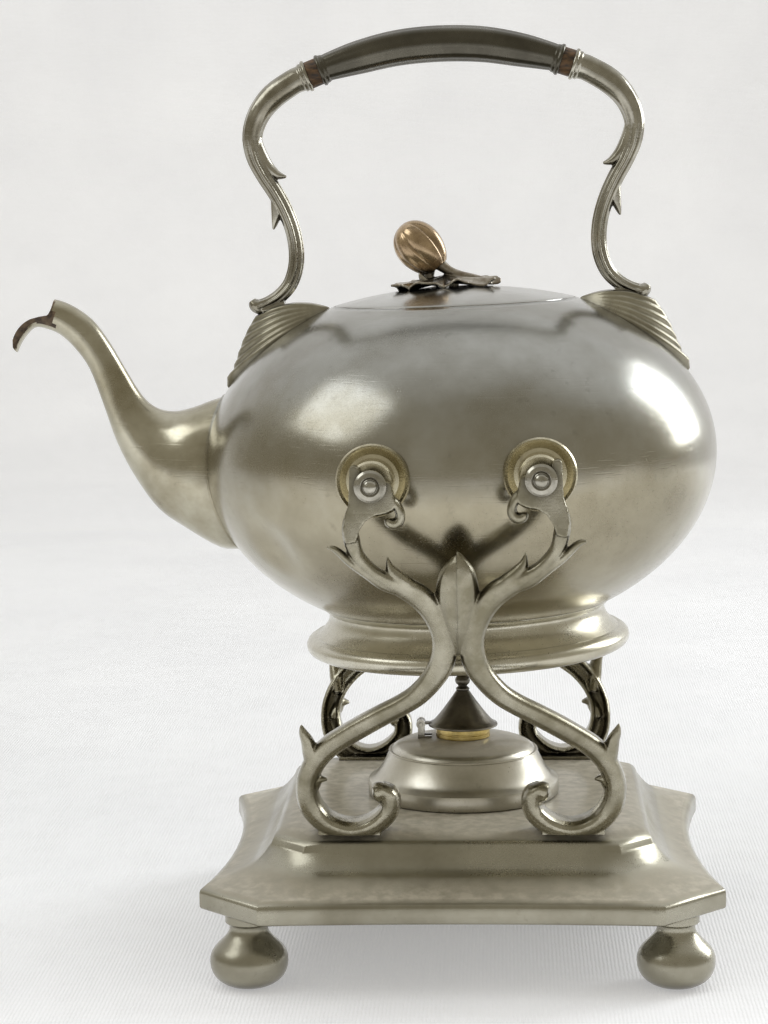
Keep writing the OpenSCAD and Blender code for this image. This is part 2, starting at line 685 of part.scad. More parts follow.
module bracket(side) {
    color(pewter) kettle_place() scale([side, 1, 1]) difference() {
        bracket_form(0);
        body_form(seat);
    }
}

// Trunnions: a dished flange with a boss on the body, and a pin with a buttoned end

boss_face = hook_y - hook_t / 2 - side_play;
button_back = hook_y + hook_t / 2 + side_play;
flange_face = sqrt(body_r * body_r - pow(pin_x - flange_r, 2)) + 1.6;

// Stands at a pin of the right front, looking outwards along the pin
module at_pin(side, face) {
    translate([side * pin_x, 0, pin_z]) rotate([face == front ? 90 : -90, 0, 0]) children();
}

module trunnion_flange(side, face) {
    color(pewter) kettle_place() difference() {
        at_pin(side, face) rotate_extrude($fn = 64) polygon([
            [pin_r + 0.02, flange_face - 20], [flange_r - 1.4, flange_face - 20],
            [flange_r, flange_face - 1.2], [flange_r - 0.5, flange_face],
            [flange_r - 1.6, flange_face - 0.3],
            [boss_r + 1.6, flange_face - 1.5], [boss_r + 0.3, flange_face - 1.2],
            [boss_r, boss_face - 2.6], [boss_r - 0.5, boss_face - 2], [boss_r, boss_face - 1.2],
            [boss_r - 0.6, boss_face], [pin_r + 0.02, boss_face]]);
        body_form(seat);
    }
}

module trunnion_pin(side, face) {
    color(pewter) kettle_place() difference() {
        at_pin(side, face) rotate_extrude($fn = 64) polygon(concat(
            [[0, flange_face - 16], [pin_r, flange_face - 16], [pin_r, button_back],
             [button_r - 0.6, button_back], [button_r, button_back + 0.8],
             [button_r, button_back + 2.2], [button_r - 0.8, button_back + 3],
             [button_r * 0.62, button_back + 3.4], [button_r * 0.5, button_back + 3.1]],
            [for (a = [0 : 15 : 90]) [button_r * 0.44 * cos(a), button_back + 3.4 + 2 * sin(a)]]));
        body_form(seat);
    }
}

// Plinth

// Outline at one height: a square with cut corners, whose sides bow inwards, counted round
// from the right front
side_parts = 6;
function bowed_side(w, c, bow) = [for (k = [0 : side_parts]) let (t = 2 * k / side_parts - 1)
    [w - bow * (1 - t * t), t * (w - c)]];
function cut_square(w, c, z, share = 0) = let (
    side = bowed_side(w, c, share * rim_bow_side),
    end = bowed_side(w, c, share * rim_bow_front))
    concat([for (p = side) [p[0], p[1], z]], [for (p = end) [-p[1], p[0], z]],
        [for (p = side) [-p[0], -p[1], z]], [for (p = end) [p[1], -p[0], z]]);
rim_top_z = rim_z + rim_h;
shoulder_half_w = deck_half_w + 14.2;
// Half width, corner cut and height at a share of the way from the shoulder out to the rim
function cavetto(share, z_share) = [mix(shoulder_half_w, rim_half_w, share),
    mix(mix(deck_cut, rim_cut, 0.3), rim_cut, share), mix(rim_top_z, deck_z, z_share)];
// The plinth's outline from the rim up to the deck: half width, corner cut, height
plinth_profile = [
    [rim_half_w - 1.2, rim_cut - 0.7, rim_z], [rim_half_w, rim_cut, rim_z + 1],
    [rim_half_w, rim_cut, rim_top_z - 1.6], [rim_half_w - 1, rim_cut - 0.6, rim_top_z],
    [rim_half_w - 3.4, rim_cut - 1.6, rim_top_z + 1], cavetto(0.62, 0.11), cavetto(0.4, 0.17),
    cavetto(0.22, 0.28), cavetto(0.1, 0.42), cavetto(0.03, 0.6),
    [shoulder_half_w - 0.7, mix(deck_cut, rim_cut, 0.26), mix(rim_top_z, deck_z, 0.78)],
    [mix(deck_half_w, shoulder_half_w, 0.76), mix(deck_cut, rim_cut, 0.16), mix(rim_top_z, deck_z, 0.9)],
    [mix(deck_half_w, shoulder_half_w, 0.4), mix(deck_cut, rim_cut, 0.06), mix(rim_top_z, deck_z, 0.975)],
    [deck_half_w, deck_cut, deck_z]];
function bow_share(w) = clamp01((w - shoulder_half_w) / (rim_half_w - 3 - shoulder_half_w));

module plinth_form() {
    skin([for (p = plinth_profile) cut_square(p[0], p[1], p[2], bow_share(p[0]))]);
}

module base_plinth() {
    w = plinth_wall;
    low = cavetto(0.4, 0.17);
    high = cavetto(0.03, 0.42);
    under = [
        [rim_half_w - w - 1, rim_cut - w / 2, rim_z + w],
        [rim_half_w - w - 1.6, rim_cut - w / 2, rim_top_z - w],
        [low[0], low[1], low[2] - w], [high[0] - w, high[1], high[2] - w / 2],
        [mix(deck_half_w, shoulder_half_w, 0.7) - w, mix(deck_cut, rim_cut, 0.1), deck_z - w - 1.6],
        [deck_half_w - w, deck_cut, deck_z - w]];
    // The four corners keep a web, to which the feet are fixed
    web_cut = 2 * (rim_half_w - w) - 2 * foot_xy + 1.5 * foot_collar_r;
    color(pewter) difference() {
        plinth_form();
        skin([for (p = under) cut_square(p[0], p[1], p[2], bow_share(p[0]))]);
        skin([for (z = [rim_z - 5, rim_z + w + 0.1]) cut_square(rim_half_w - w - 1, web_cut, z, 1)]);
    }
}

module foot(side, face) {
    ball = [[0.44, 0], [0.65, 1], [0.78, 2.2], [0.9, 4.2], [0.97, 6.6], [1, 9.4], [0.985, 11.8], [0.92, 14],
        [0.82, 15.9], [0.7, 17.4], [0.6, 18.8]];
    color(pewter) translate([side * foot_xy, face * foot_xy, 0]) rotate_extrude($fn = 64) polygon(concat(
        [[0, 0]], [for (p = ball) [foot_ball_r * p[0], p[1]]],
        [[foot_neck_r + 0.5, 20.2], [foot_neck_r, 21.8], [foot_neck_r, rim_z - 3.8],
         [foot_neck_r + 0.3, rim_z - 3.4], [foot_collar_r, rim_z - 3], [foot_collar_r, rim_z], [0, rim_z]]));
}

// Arms: drawn for the right front at the master sizes, and stretched between deck and pin

master_deck_z = 54.5;
master_pin_z = 190.9;
master_pin_x = 29.8;
master_foot_x = 41.5;
right_pin_lift = 2 * pin_x * sin(kettle_lean);
right_pin_shift = 2 * pin_x * (1 - cos(kettle_lean));

// Share of the way up from deck to pin
function rise(z) = (z - master_deck_z) / (master_pin_z - master_deck_z);
// Distance from the middle, front to back: the arm leans out and straightens at the hook
function lean_y(t) = let (knee = 0.72, s = clamp01(t))
    arm_foot_y + (hook_y - arm_foot_y) * 2 / (1 + knee)
        * (t < 0 ? t : s < knee ? s : s - pow(s - knee, 2) / (2 * (1 - knee)));
// Place of a master point: side to side, front to back, height
function arm_x(x, z, lift) = x * mix(arm_foot_x / master_foot_x, pin_x / master_pin_x, clamp01(rise(z)))
    - (lift > 0 ? right_pin_shift * ease(clamp01((rise(z) - 0.6) / 0.4)) : 0);
function arm_z(z, lift) = deck_z + (pin_z - deck_z) * rise(z) + lift * ease(clamp01((rise(z) - 0.5) / 0.45));
function arm_at(x, z, y, lift) = [arm_x(x, z, lift), -lean_y(rise(z)) + y, arm_z(z, lift)];

// Half-round front with a hollow back, as such castings are
arm_shape = [[-1, 0], [-0.86, -0.62], [-0.4, -1], [0.4, -1], [0.86, -0.62], [1, 0], [0.95, 0.8],
    [0.62, 0.95], [0.4, 0.3], [-0.4, 0.3], [-0.62, 0.95], [-0.95, 0.8]];

function arm_ring(p, t, lift) = let (n = [-t[1], t[0]])
    [for (q = arm_shape) arm_at(p[0] + n[0] * q[0] * p[2], p[1] + n[1] * q[0] * p[2], q[1] * p[3], lift)];

// Each station: x, z, half width, half depth
arm_strand = [[33.6, 183.6, 3.6, 2.9], [36.5, 176.6, 3.2, 3], [36.8, 170, 3.2, 3.2],
    [34.6, 163.4, 3.2, 3.5], [29.4, 157.4, 3.1, 3.8], [22.6, 153, 3.9, 4], [16, 148.8, 4.5, 4.2],
    [11, 143.4, 4.5, 4.4], [7.8, 136.4, 4.2, 4.6], [6.1, 128.6, 4, 4.7], [6.4, 120.6, 4.1, 4.8],
    [9.4, 113.6, 4.3, 4.8], [14.8, 107.4, 4.2, 4.8], [21.8, 102.4, 4.1, 4.8], [31, 97.9, 4.1, 4.8],
    [40.4, 93.2, 4.1, 4.8], [48.4, 88.4, 4.2, 5], [54, 82.2, 4.3, 5.4], [56.8, 74, 4.2, 6],
    [55.6, 65.4, 4.3, 6.8], [50.4, 58.2, 4.4, 7.6], [42, 54.9, 4.4, 8], [33.8, 57, 4.2, 7.8],
    [27.6, 63, 3.9, 7], [27, 69.6, 3.4, 6.2], [30, 72.6, 2.6, 5.4]];
arm_eye = [[29.6, 71, 4.2, 6], [30.4, 70.4, 4.3, 6.2]];
arm_leaf_out = [[29, 152.6, 2, 3.6], [35.4, 157, 2.3, 3.4], [40.4, 161.8, 2.3, 3],
    [44, 165.8, 1.6, 2.2], [46.4, 168.4, 0.7, 1.2]];
arm_leaf_in = [[13, 151.2, 3.2, 3.8], [18.4, 155, 3, 3.6], [22, 159.4, 2.1, 2.8], [24, 164, 0.6, 1.2]];
arm_leaf_low = [[56.6, 86.6, 2.8, 4.4], [58.2, 92.4, 2.3, 3.6], [58.9, 96, 1.6, 2.6],
    [58.2, 98.4, 0.7, 1.4]];
arm_spur = [[55.6, 73, 2.4, 4], [53.2, 76.8, 2, 3.2], [50.2, 77.4, 0.8, 1.6]];
hook_curl = [[24.4, 184.6, 2.8, 2.8], [21.6, 180.6, 3, 2.9], [21.6, 177.2, 3.7, 3]];

module arm_stroke(stations, lift) {
    for (i = [0 : len(stations) - 2]) hull() for (j = [0, 1]) {
        s = stations[i + j];
        translate(arm_at(s[0], s[1], 0, lift)) scale([s[2], s[3], s[2]]) sphere(r = 1, $fn = ball_fn);
    }
}

// Hook plate round the pin: an open U with a tall outer prong and a short inner one
module hook_plate(lift) {
    slot_r = pin_r + hook_gap;
    out = slot_r + outer_prong_t;
    in = -slot_r - inner_prong_t;
    shift = lift > 0 ? right_pin_shift : 0;
    translate([pin_x - shift, -hook_y + hook_t / 2, pin_z + lift]) rotate([90, 0, 0])
        linear_extrude(hook_t) polygon([
            [out - 0.4, outer_prong_h - 1], [out - 1.2, outer_prong_h], [slot_r + 0.8, outer_prong_h - 0.2],
            [slot_r - 0.6, outer_prong_h - 2], [0, 1], [-slot_r + 0.5, 0.4], [-slot_r - 0.8, 1.2],
            [in + 1.2, 0.9], [in + 0.2, -0.8], [in + 0.2, -3.4], [in - 0.8, -6.6], [in - 0.6, -10.6],
            [-2.4, -11.8], [3, -11.8], [out + 1.6, -9.6], [out - 0.2, -5.4], [out, -1]]);
}

// Half of the bud: a ridged, pointed swelling down the middle of the pair
bud_stations = [[164.7, 0.1, 0.16], [162.6, 0.45, 0.4], [158.4, 0.78, 0.7], [152.8, 0.98, 0.92],
    [147, 1, 1], [140, 0.84, 0.96], [133.6, 0.56, 0.8], [127.4, 0.2, 0.56]];

module bud(lift) {
    depth = 6.4;
    skin([for (s = bud_stations) let (w = bud_half_w * s[1], d = depth * s[2])
        [for (q = [[0, -1], [0.22, -0.98], [0.8, -0.55], [1, 0], [0.8, 0.5], [0, 0.62], [-0.8, 0.5], [-1, 0],
                [-0.8, -0.55], [-0.22, -0.98]])
            arm_at(q[0] * w, s[0], q[1] * d, lift * 0.5)]]);
}

// An arm at the right front, with the lift of the pin that it carries
module arm_form(lift) {
    arm_room = 2 * rim_half_w;
    slot_r = pin_r + hook_gap;
    shift = lift > 0 ? right_pin_shift : 0;
    difference() {
        union() {
            skin([for (i = [0 : len(arm_strand) - 1])
                arm_ring(arm_strand[i], tangent(arm_strand, i), lift)]);
            for (s = [arm_eye, arm_leaf_out, arm_leaf_in, arm_leaf_low, arm_spur, hook_curl])
                arm_stroke(s, lift);
            bud(lift);
            hook_plate(lift);
            // Solder bed under the scroll
            translate([arm_foot_x - 11.5, -arm_foot_y - 7.2, deck_z - 5]) cube([23.5, 14.6, 7]);
        }
        // Each half of the pair stops at the middle seam
        translate([seat / 2 - arm_room, -hook_y - arm_room, 0]) cube([arm_room, hook_y + arm_room, 2 * pin_z]);
        // Slot for the pin
        translate([pin_x - shift, 0, pin_z + lift]) rotate([90, 0, 0])
            cylinder(r = slot_r, h = 3 * hook_y, center = true, $fn = 48);
        translate([pin_x - shift - slot_r, -1.5 * hook_y, pin_z + lift]) cube([2 * slot_r, 3 * hook_y, 30]);
        // Room for the boss behind the hook, and for the button before it
        translate([pin_x - shift, -boss_face + side_play, pin_z + lift]) rotate([-90, 0, 0])
            cylinder(r = flange_r + 1, h = 30, $fn = 32);
        translate([pin_x - shift, -button_back + side_play, pin_z + lift]) rotate([90, 0, 0])
            cylinder(r = button_r + 4, h = 30, $fn = 32);
        translate([0, 0, seat]) plinth_form();
    }
}

module arm(side, face) {
    color(pewter) scale([side, -face, 1]) arm_form(side == right ? right_pin_lift : 0);
}

// Burner

burner_top_z = deck_z + burner_top_h;
neck_hole_r = collar_r - 1.6;
function burner_outline() = concat(
    [[burner_r - 0.8, deck_z + 0.1], [burner_r, deck_z + 1], [burner_r - 0.2, deck_z + burner_band_h - 0.6],
     [burner_r - 0.8, deck_z + burner_band_h]],
    [for (i = [1 : 6]) let (t = i / 6)
        [mix(burner_r - 0.8, burner_step_r, pow(t, 0.6)),
         mix(deck_z + burner_band_h, deck_z + burner_step_h, t)]],
    [[burner_step_r - 0.9, deck_z + burner_step_h + 0.6]],
    [for (a = [10 : 16 : 90]) [mix(neck_hole_r, burner_step_r - 1.2, cos(a)),
        mix(deck_z + burner_step_h + 0.6, burner_top_z, sin(a))]]);

module burner_font() {
    outline = burner_outline();
    last = len(outline) - 1;
    w = burner_wall;
    color(pewter) rotate_extrude($fn = round_fn) polygon(concat(outline,
        [[neck_hole_r, burner_top_z - w], [burner_step_r - 6, burner_top_z - w - 1.6],
         [burner_step_r - 3, deck_z + burner_step_h - 1.6],
         [burner_step_r - w - 0.8, deck_z + burner_step_h - 3.4],
         [burner_step_r - w + 1, deck_z + burner_step_h - 7],
         [burner_r - w - 1.8, deck_z + burner_band_h - 0.6], [burner_r - w - 0.8, deck_z + 0.1]]));
}

module burner_bottom() {
    color(pewter_dark) translate([0, 0, deck_z + 0.1])
        cylinder(r = burner_r - burner_wall - 0.95, h = 1.4, $fn = round_fn);
}

module burner_collar() {
    z = burner_top_z + 0.05;
    color(brass) rotate_extrude($fn = 64) polygon([
        [wick_tube_r + 0.02, z + collar_h - 1.4], [collar_r - 0.6, z + collar_h - 1.4],
        [collar_r - 0.6, z + collar_h], [collar_r, z + collar_h], [collar_r, z], [neck_hole_r - 0.1, z],
        [neck_hole_r - 0.1, z - 4], [neck_hole_r - 1.2, z - 4], [neck_hole_r - 1.2, z + collar_h - 2.6],
        [wick_tube_r + 0.02, z + collar_h - 2.6]]);
}

module wick_tube() {
    z = burner_top_z + collar_h;
    color(brass) rotate_extrude($fn = 48) polygon([
        [wick_tube_r - 0.7, z - 9], [wick_tube_r, z - 9], [wick_tube_r, z + wick_tube_h],
        [wick_tube_r - 0.7, z + wick_tube_h]]);
}

module wick() {
    z = burner_top_z + collar_h;
    wick_end_h = 1.4;
    color(cotton) translate([0, 0, deck_z + 2.2])
        cylinder(r = wick_tube_r - 0.75, h = z + wick_tube_h + wick_end_h - deck_z - 2.2, $fn = 32);
}

// Snuffer, hinged at the spout side of the collar

cone_z = burner_top_z + collar_h + 0.12;
snuffer_x = -cone_r - 2.9;
snuffer_z = cone_z + 0.9;
lug_w = 3;
lug_gap = 0.15;
snuffer_knuckle_r = 1.8;

module snuffer_bracket() {
    foot_x = -collar_r - 3.4;
    color(pewter_dark) difference() {
        for (s = [left, right]) translate([0, s * (lug_w + 1.6 + lug_gap * 2) / 2 - 0.8, 0]) {
            translate([snuffer_x, 0, snuffer_z]) rotate([-90, 0, 0])
                cylinder(r = snuffer_knuckle_r, h = 1.6, $fn = 32);
            translate([snuffer_x - 1.2, 0, snuffer_z - 7.4]) cube([2.6, 1.6, 7.4]);
            translate([snuffer_x - 1.2, 0, burner_top_z - 4]) cube([5.4, 1.6, 4.6]);
        }
        translate([snuffer_x, 0, snuffer_z]) rotate([90, 0, 0])
            cylinder(r = snuffer_pin_r + 0.03, h = 20, center = true, $fn = 32);
        rotate_extrude($fn = round_fn) polygon(concat([[0, deck_z], [burner_r, deck_z]],
            [for (p = burner_outline()) [p[0] + seat, p[1] + seat]], [[0, burner_top_z + seat]]));
    }
}

module snuffer_cone() {
    flare = cone_z + 1;
    w = cone_wall;
    tip_r = 2.5;
    outer = [for (i = [0 : 8]) let (t = i / 8)
        [mix(cone_r - 0.8, tip_r, pow(t, 0.86)), flare + (cone_h - 1) * t]];
    inner = [for (i = [7 : -1 : 0]) let (t = i / 8)
        [max(0.4, mix(cone_r - 0.8, tip_r, pow(t, 0.86)) - w * 1.5), flare + (cone_h - 1) * t]];
    color(pewter_dark) {
        rotate_extrude($fn = 64) polygon(concat([[cone_r - 0.4, cone_z], [cone_r, cone_z + 0.5]], outer,
            [[0, cone_z + cone_h], [0, cone_z + cone_h - 3]], inner, [[cone_r - 1.6, cone_z]]));
        // Leaf of the hinge on the cone's rim
        difference() {
            union() {
                translate([snuffer_x, lug_w / 2, snuffer_z]) rotate([90, 0, 0])
                    cylinder(r = snuffer_knuckle_r, h = lug_w, $fn = 32);
                translate([snuffer_x, -lug_w / 2, snuffer_z - 0.2]) cube([5.4, lug_w, 1.4]);
            }
            translate([snuffer_x, 0, snuffer_z]) rotate([90, 0, 0])
                cylinder(r = snuffer_pin_r + 0.03, h = 20, center = true, $fn = 32);
            translate([0, 0, cone_z - 1]) cylinder(r = cone_r - 1.4, h = 4, $fn = 64);
        }
    }
}

module snuffer_knob() {
    z = cone_z + cone_h;
    color(pewter_dark) rotate_extrude($fn = 48) polygon(concat(
        [[0, z + 0.02], [2.2, z + 0.02], [1.7, z + 1.6]],
        [for (a = [-50 : 20 : 90]) [knob_r * cos(a), z + 4 + knob_r * 0.8 * sin(a)]]));
}

module snuffer_hinge_pin() {
    color(pewter_dark) translate([snuffer_x, 0, snuffer_z]) rotate([90, 0, 0])
        cylinder(r = snuffer_pin_r, h = lug_w + 4.4, center = true, $fn = 32);
}

base_plinth();
foot(left, front);  // foot_front_left
foot(right, front);  // foot_front_right
foot(left, back);  // foot_back_left
foot(right, back);  // foot_back_right
arm(left, front);  // arm_front_left
arm(right, front);  // arm_front_right
arm(left, back);  // arm_back_left
arm(right, back);  // arm_back_right
kettle_bowl();
kettle_belt();
kettle_shoulder();
kettle_foot_ring();
spout();
lid_seat_ring();
bracket(left);  // bracket_left
bracket(right);  // bracket_right
handle_leg(left);  // handle_leg_left
handle_leg(right);  // handle_leg_right
insulator(left);  // insulator_left
insulator(right);  // insulator_right
handle_grip();
trunnion_flange(left, front);  // trunnion_flange_front_left
trunnion_flange(right, front);  // trunnion_flange_front_right
trunnion_flange(left, back);  // trunnion_flange_back_left
trunnion_flange(right, back);  // trunnion_flange_back_right
trunnion_pin(left, front);  // trunnion_pin_front_left
trunnion_pin(right, front);  // trunnion_pin_front_right
trunnion_pin(left, back);  // trunnion_pin_back_left
trunnion_pin(right, back);  // trunnion_pin_back_right
body_hinge();
lid_hinge_pin();
lid_dome();
lid_bezel();
lid_hinge_leaf();
finial_leaf();
finial_fruit();
finial_stud();
burner_font();
burner_bottom();
snuffer_bracket();
burner_collar();
wick_tube();
wick();
snuffer_cone();
snuffer_knob();
snuffer_hinge_pin();
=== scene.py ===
import json
import math

import bmesh
import bpy
from mathutils import Matrix, Vector

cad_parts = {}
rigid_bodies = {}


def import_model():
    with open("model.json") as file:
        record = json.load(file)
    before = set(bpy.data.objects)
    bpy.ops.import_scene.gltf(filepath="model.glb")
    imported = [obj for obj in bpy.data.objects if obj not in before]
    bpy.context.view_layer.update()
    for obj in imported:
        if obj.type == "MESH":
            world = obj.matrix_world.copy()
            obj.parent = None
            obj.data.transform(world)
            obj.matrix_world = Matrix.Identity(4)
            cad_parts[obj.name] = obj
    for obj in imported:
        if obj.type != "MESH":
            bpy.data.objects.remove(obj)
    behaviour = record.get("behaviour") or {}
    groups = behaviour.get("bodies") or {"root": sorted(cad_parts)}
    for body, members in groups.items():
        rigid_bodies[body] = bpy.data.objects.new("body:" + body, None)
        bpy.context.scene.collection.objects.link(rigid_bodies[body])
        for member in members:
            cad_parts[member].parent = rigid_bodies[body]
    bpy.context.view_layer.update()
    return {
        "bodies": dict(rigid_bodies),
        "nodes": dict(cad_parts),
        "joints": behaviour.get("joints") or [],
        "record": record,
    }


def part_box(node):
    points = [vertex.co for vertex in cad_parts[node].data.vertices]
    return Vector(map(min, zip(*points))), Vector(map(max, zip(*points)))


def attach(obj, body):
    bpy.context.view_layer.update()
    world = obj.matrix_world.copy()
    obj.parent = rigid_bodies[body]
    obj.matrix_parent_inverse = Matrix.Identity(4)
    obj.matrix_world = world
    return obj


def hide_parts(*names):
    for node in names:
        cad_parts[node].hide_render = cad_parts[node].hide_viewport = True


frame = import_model()
mm = 0.001

# Camera: a metre in front of the kettle at the height of its shoulder, looking slightly down,
# turned a little to the left and tilted by under one degree.
camera_place = Vector((15.4, -1000.6, 293.2)) * mm
camera_heading = math.radians(2.62)
camera_pitch = math.radians(7.17)
camera_tilt = math.radians(-0.76)
camera_lens = 89.88
camera_film_w = 36

camera_data = bpy.data.cameras.new("camera")
camera_data.sensor_width = camera_film_w
camera_data.lens = camera_lens
camera = bpy.data.objects.new("camera", camera_data)
camera.matrix_world = (
    Matrix.Translation(camera_place)
    @ Matrix.Rotation(camera_heading, 4, "Z")
    @ Matrix.Rotation(math.pi / 2 - camera_pitch, 4, "X")
    @ Matrix.Rotation(camera_tilt, 4, "Z"))
bpy.context.scene.collection.objects.link(camera)
bpy.context.scene.camera = camera
bpy.context.scene.view_settings.view_transform = "Standard"

# Cloth: one wide sheet of pale linen, which lies on the table and rises far behind the kettle
# as its backdrop. It is woven plainly, from threads that show as fine uneven ribs.
cloth_half_w = 3200
cloth_front = -3200
cloth_back = 2300
cloth_bend_r = 700
cloth_top = 2600
cloth_colour = "#dededf"
cloth_shade_colour = "#d0d0d2"
cloth_thread = 1.5
# Share of its own colour that the cloth glows with: round the kettle, where it is painted light
# over the kettle's shadow, just behind it, and far back
painted_light_near, lift_behind, lift_far = 0.9, 0.3, 0.63


def linear(colour, alpha=1.0):
    parts = [int(colour[i:i + 2], 16) / 255 for i in (1, 3, 5)]
    return [c / 12.92 if c <= 0.04045 else ((c + 0.055) / 1.055) ** 2.4 for c in parts] + [alpha]


def feed(node, inputs):
    """Sets a node's sockets, by name or in their order, each by a link or by a value. A node
    gives its first output, and a hex colour its linear value."""
    if not isinstance(inputs, dict):
        inputs = dict(zip([i for i, s in enumerate(node.inputs) if s.enabled], inputs))
    for socket, value in inputs.items():
        if isinstance(value, bpy.types.Node):
            value = next(s for s in value.outputs if s.enabled)
        if isinstance(value, bpy.types.NodeSocket):
            node.id_data.links.new(value, node.inputs[socket])
        else:
            value = linear(value) if isinstance(value, str) else value
            node.inputs[socket].default_value = value
    return node


def add(tree, kind, inputs=(), **settings):
    """Adds a node with its settings, its socket values and its links."""
    node = tree.nodes.new("ShaderNode" + kind)
    for name, value in settings.items():
        setattr(node, name, value)
    return feed(node, inputs)


def new_material(name):
    material = bpy.data.materials.new(name)
    material.use_nodes = True
    return material, material.node_tree, material.node_tree.nodes["Principled BSDF"]


def new_object(name, bm, material, sharp=40):
    """Makes a finished mesh object at the origin, smooth up to an angle in degrees."""
    mesh = bpy.data.meshes.new(name)
    bm.to_mesh(mesh)
    bm.free()
    mesh.shade_smooth()
    mesh.set_sharp_from_angle(angle=math.radians(sharp))
    mesh.materials.append(material)
    piece = bpy.data.objects.new(name, mesh)
    bpy.context.scene.collection.objects.link(piece)
    return piece


def on_oval(a, half_w=1.0, half_h=1.0, middle=(0, 0)):
    """A point of an oval, at an angle in degrees."""
    return (middle[0] + half_w * math.cos(math.radians(a)),
            middle[1] + half_h * math.sin(math.radians(a)))


def linen():
    """Washed linen: matt, with soft grey patches of painted shade standing for folds, and a weave
    that only low light brings out. Its threads are drawn coarser than they are, so that they show
    from a metre away."""
    material, tree, shader = new_material("plain woven linen")
    place = add(tree, "TexCoord").outputs["Object"]
    across, along = (
        add(tree, "TexWave", (place, 0.32 / (cloth_thread * mm), 2.2, 2.0, 1.5),
            bands_direction=way).outputs["Fac"] for way in "YX")
    slubs, folds = (add(tree, "TexNoise", (place, scale, 3.0)) for scale in (60.0, 7.0))
    weave = add(tree, "Math", (across, along), operation="ADD")
    uneven = add(tree, "Math", (weave, slubs), operation="MULTIPLY")
    # Painted shade: the cloth turns greyer in soft patches, as if in the shade of folds
    tint = add(tree, "Mix", (folds, cloth_shade_colour, cloth_colour), data_type="RGBA")
    bump = add(tree, "Bump", {"Height": uneven, "Strength": 0.6, "Distance": 0.5 * mm})
    # The cloth glows with its own colour to the eye and in the metal, most round the kettle, where
    # this is painted light that lifts the kettle's shadow
    depth = add(tree, "SeparateXYZ", (place,)).outputs["Y"]
    lift = add(tree, "MapRange", (depth, -0.4, 0.1, painted_light_near, lift_behind))
    front = add(tree, "MapRange", (depth, -0.9, -0.4, lift_behind, painted_light_near))
    far = add(tree, "MapRange", (depth, 0.3, cloth_back * mm, lift_behind, lift_far))
    path = add(tree, "LightPath").outputs
    seen = path["Is Camera Ray"]
    for ray in ("Is Glossy Ray", "Is Transmission Ray"):
        seen = add(tree, "Math", (seen, path[ray]), operation="MAXIMUM")
    for other, operation in ((front, "MINIMUM"), (far, "MAXIMUM"), (seen, "MULTIPLY")):
        lift = add(tree, "Math", (lift, other), operation=operation)
    feed(shader, {"Base Color": tint, "Normal": bump, "Roughness": 0.95,
                  "Specular IOR Level": 0.2, "Emission Color": tint, "Emission Strength": lift})
    return material


bm = bmesh.new()
bend = [on_oval(a, cloth_bend_r, cloth_bend_r, (cloth_back - cloth_bend_r, cloth_bend_r))
        for a in range(-90, 1, 6)]
rim = [bm.verts.new((-cloth_half_w * mm, y * mm, z * mm))
       for y, z in [(cloth_front, 0)] + bend + [(cloth_back, cloth_top)]]
edges = [bm.edges.new(pair) for pair in zip(rim, rim[1:])]
grown = bmesh.ops.extrude_edge_only(bm, edges=edges)["geom"]
bmesh.ops.translate(bm, vec=(2 * cloth_half_w * mm, 0, 0),
                    verts=[v for v in grown if isinstance(v, bmesh.types.BMVert)])
bmesh.ops.recalc_face_normals(bm, faces=bm.faces)
if sum(f.normal.z for f in bm.faces) < 0:
    bmesh.ops.reverse_faces(bm, faces=bm.faces)
new_object("cloth", bm, linen())

# Light: a soft box at the upper left, a stronger one at the right and a little behind, and a
# broad one overhead, which isn't mirrored in the metal. The room is pale overhead and behind
# the kettle, and darker and warmer in front of it.
kettle_middle = Vector((0, 0, 190)) * mm
daylight = (0.94, 0.975, 1.0)
wall_colour = "#aaa597"
ceiling_colour = "#eaeae8"
pale_side = (0.0, 0.9, 0.8)


def softbox(name, direction, distance, size, power, mirrored=True):
    light = bpy.data.lights.new(name, "AREA")
    light.shape = "RECTANGLE"
    light.size, light.size_y = size[0] * mm, size[1] * mm
    light.energy = power
    light.color = daylight
    lamp = bpy.data.objects.new(name, light)
    aim = Vector(direction).normalized()
    lamp.location = kettle_middle + aim * distance * mm
    lamp.rotation_euler = aim.to_track_quat("Z", "Y").to_euler()
    lamp.visible_camera = False
    lamp.visible_glossy = mirrored
    bpy.context.scene.collection.objects.link(lamp)


softbox("left softbox", (-0.69, -0.23, 0.67), 1500, (780, 780), 4.0)
softbox("right softbox", (0.78, 0.46, 0.34), 1500, (600, 900), 10.8)
softbox("overhead softbox", (0.05, 0.2, 1.0), 1900, (1500, 1200), 12, mirrored=False)

world = bpy.data.worlds.new("room")
world.use_nodes = True
bpy.context.scene.world = world
room = world.node_tree
height = add(room, "VectorMath", (add(room, "TexCoord").outputs["Generated"], pale_side),
             operation="DOT_PRODUCT")
shade = add(room, "MapRange", (height, 0.3, 1.0))
lit = feed(room.nodes["Background"], (
    add(room, "Mix", (shade, wall_colour, ceiling_colour), data_type="RGBA"),))
seen = add(room, "Background", (cloth_colour, 1.0))
path = add(room, "LightPath").outputs["Is Camera Ray"]
feed(room.nodes["World Output"], (add(room, "MixShader", (path, lit, seen)),))


# Base plinth: a cast pewter square with bowed sides and cut corners, hollow below. A cove
# rises from its rim to the shoulder, and dust lies on the flat deck.
plinth_low, plinth_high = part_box("base_plinth")
deck_z = plinth_high.z / mm
rim_z = plinth_low.z / mm
rim_half_w = plinth_high.x / mm
rim_top_z = rim_z + 8
deck_half_w = 58
shoulder_half_w = 72.2
rim_cut = 24
deck_cut = 9
rim_bow_side = 7.8
rim_bow_front = 2.5
plinth_wall = 2.6
side_parts = 12


def between(a, b, share):
    return a + (b - a) * share


def held(value):
    return min(1.0, max(0.0, value))


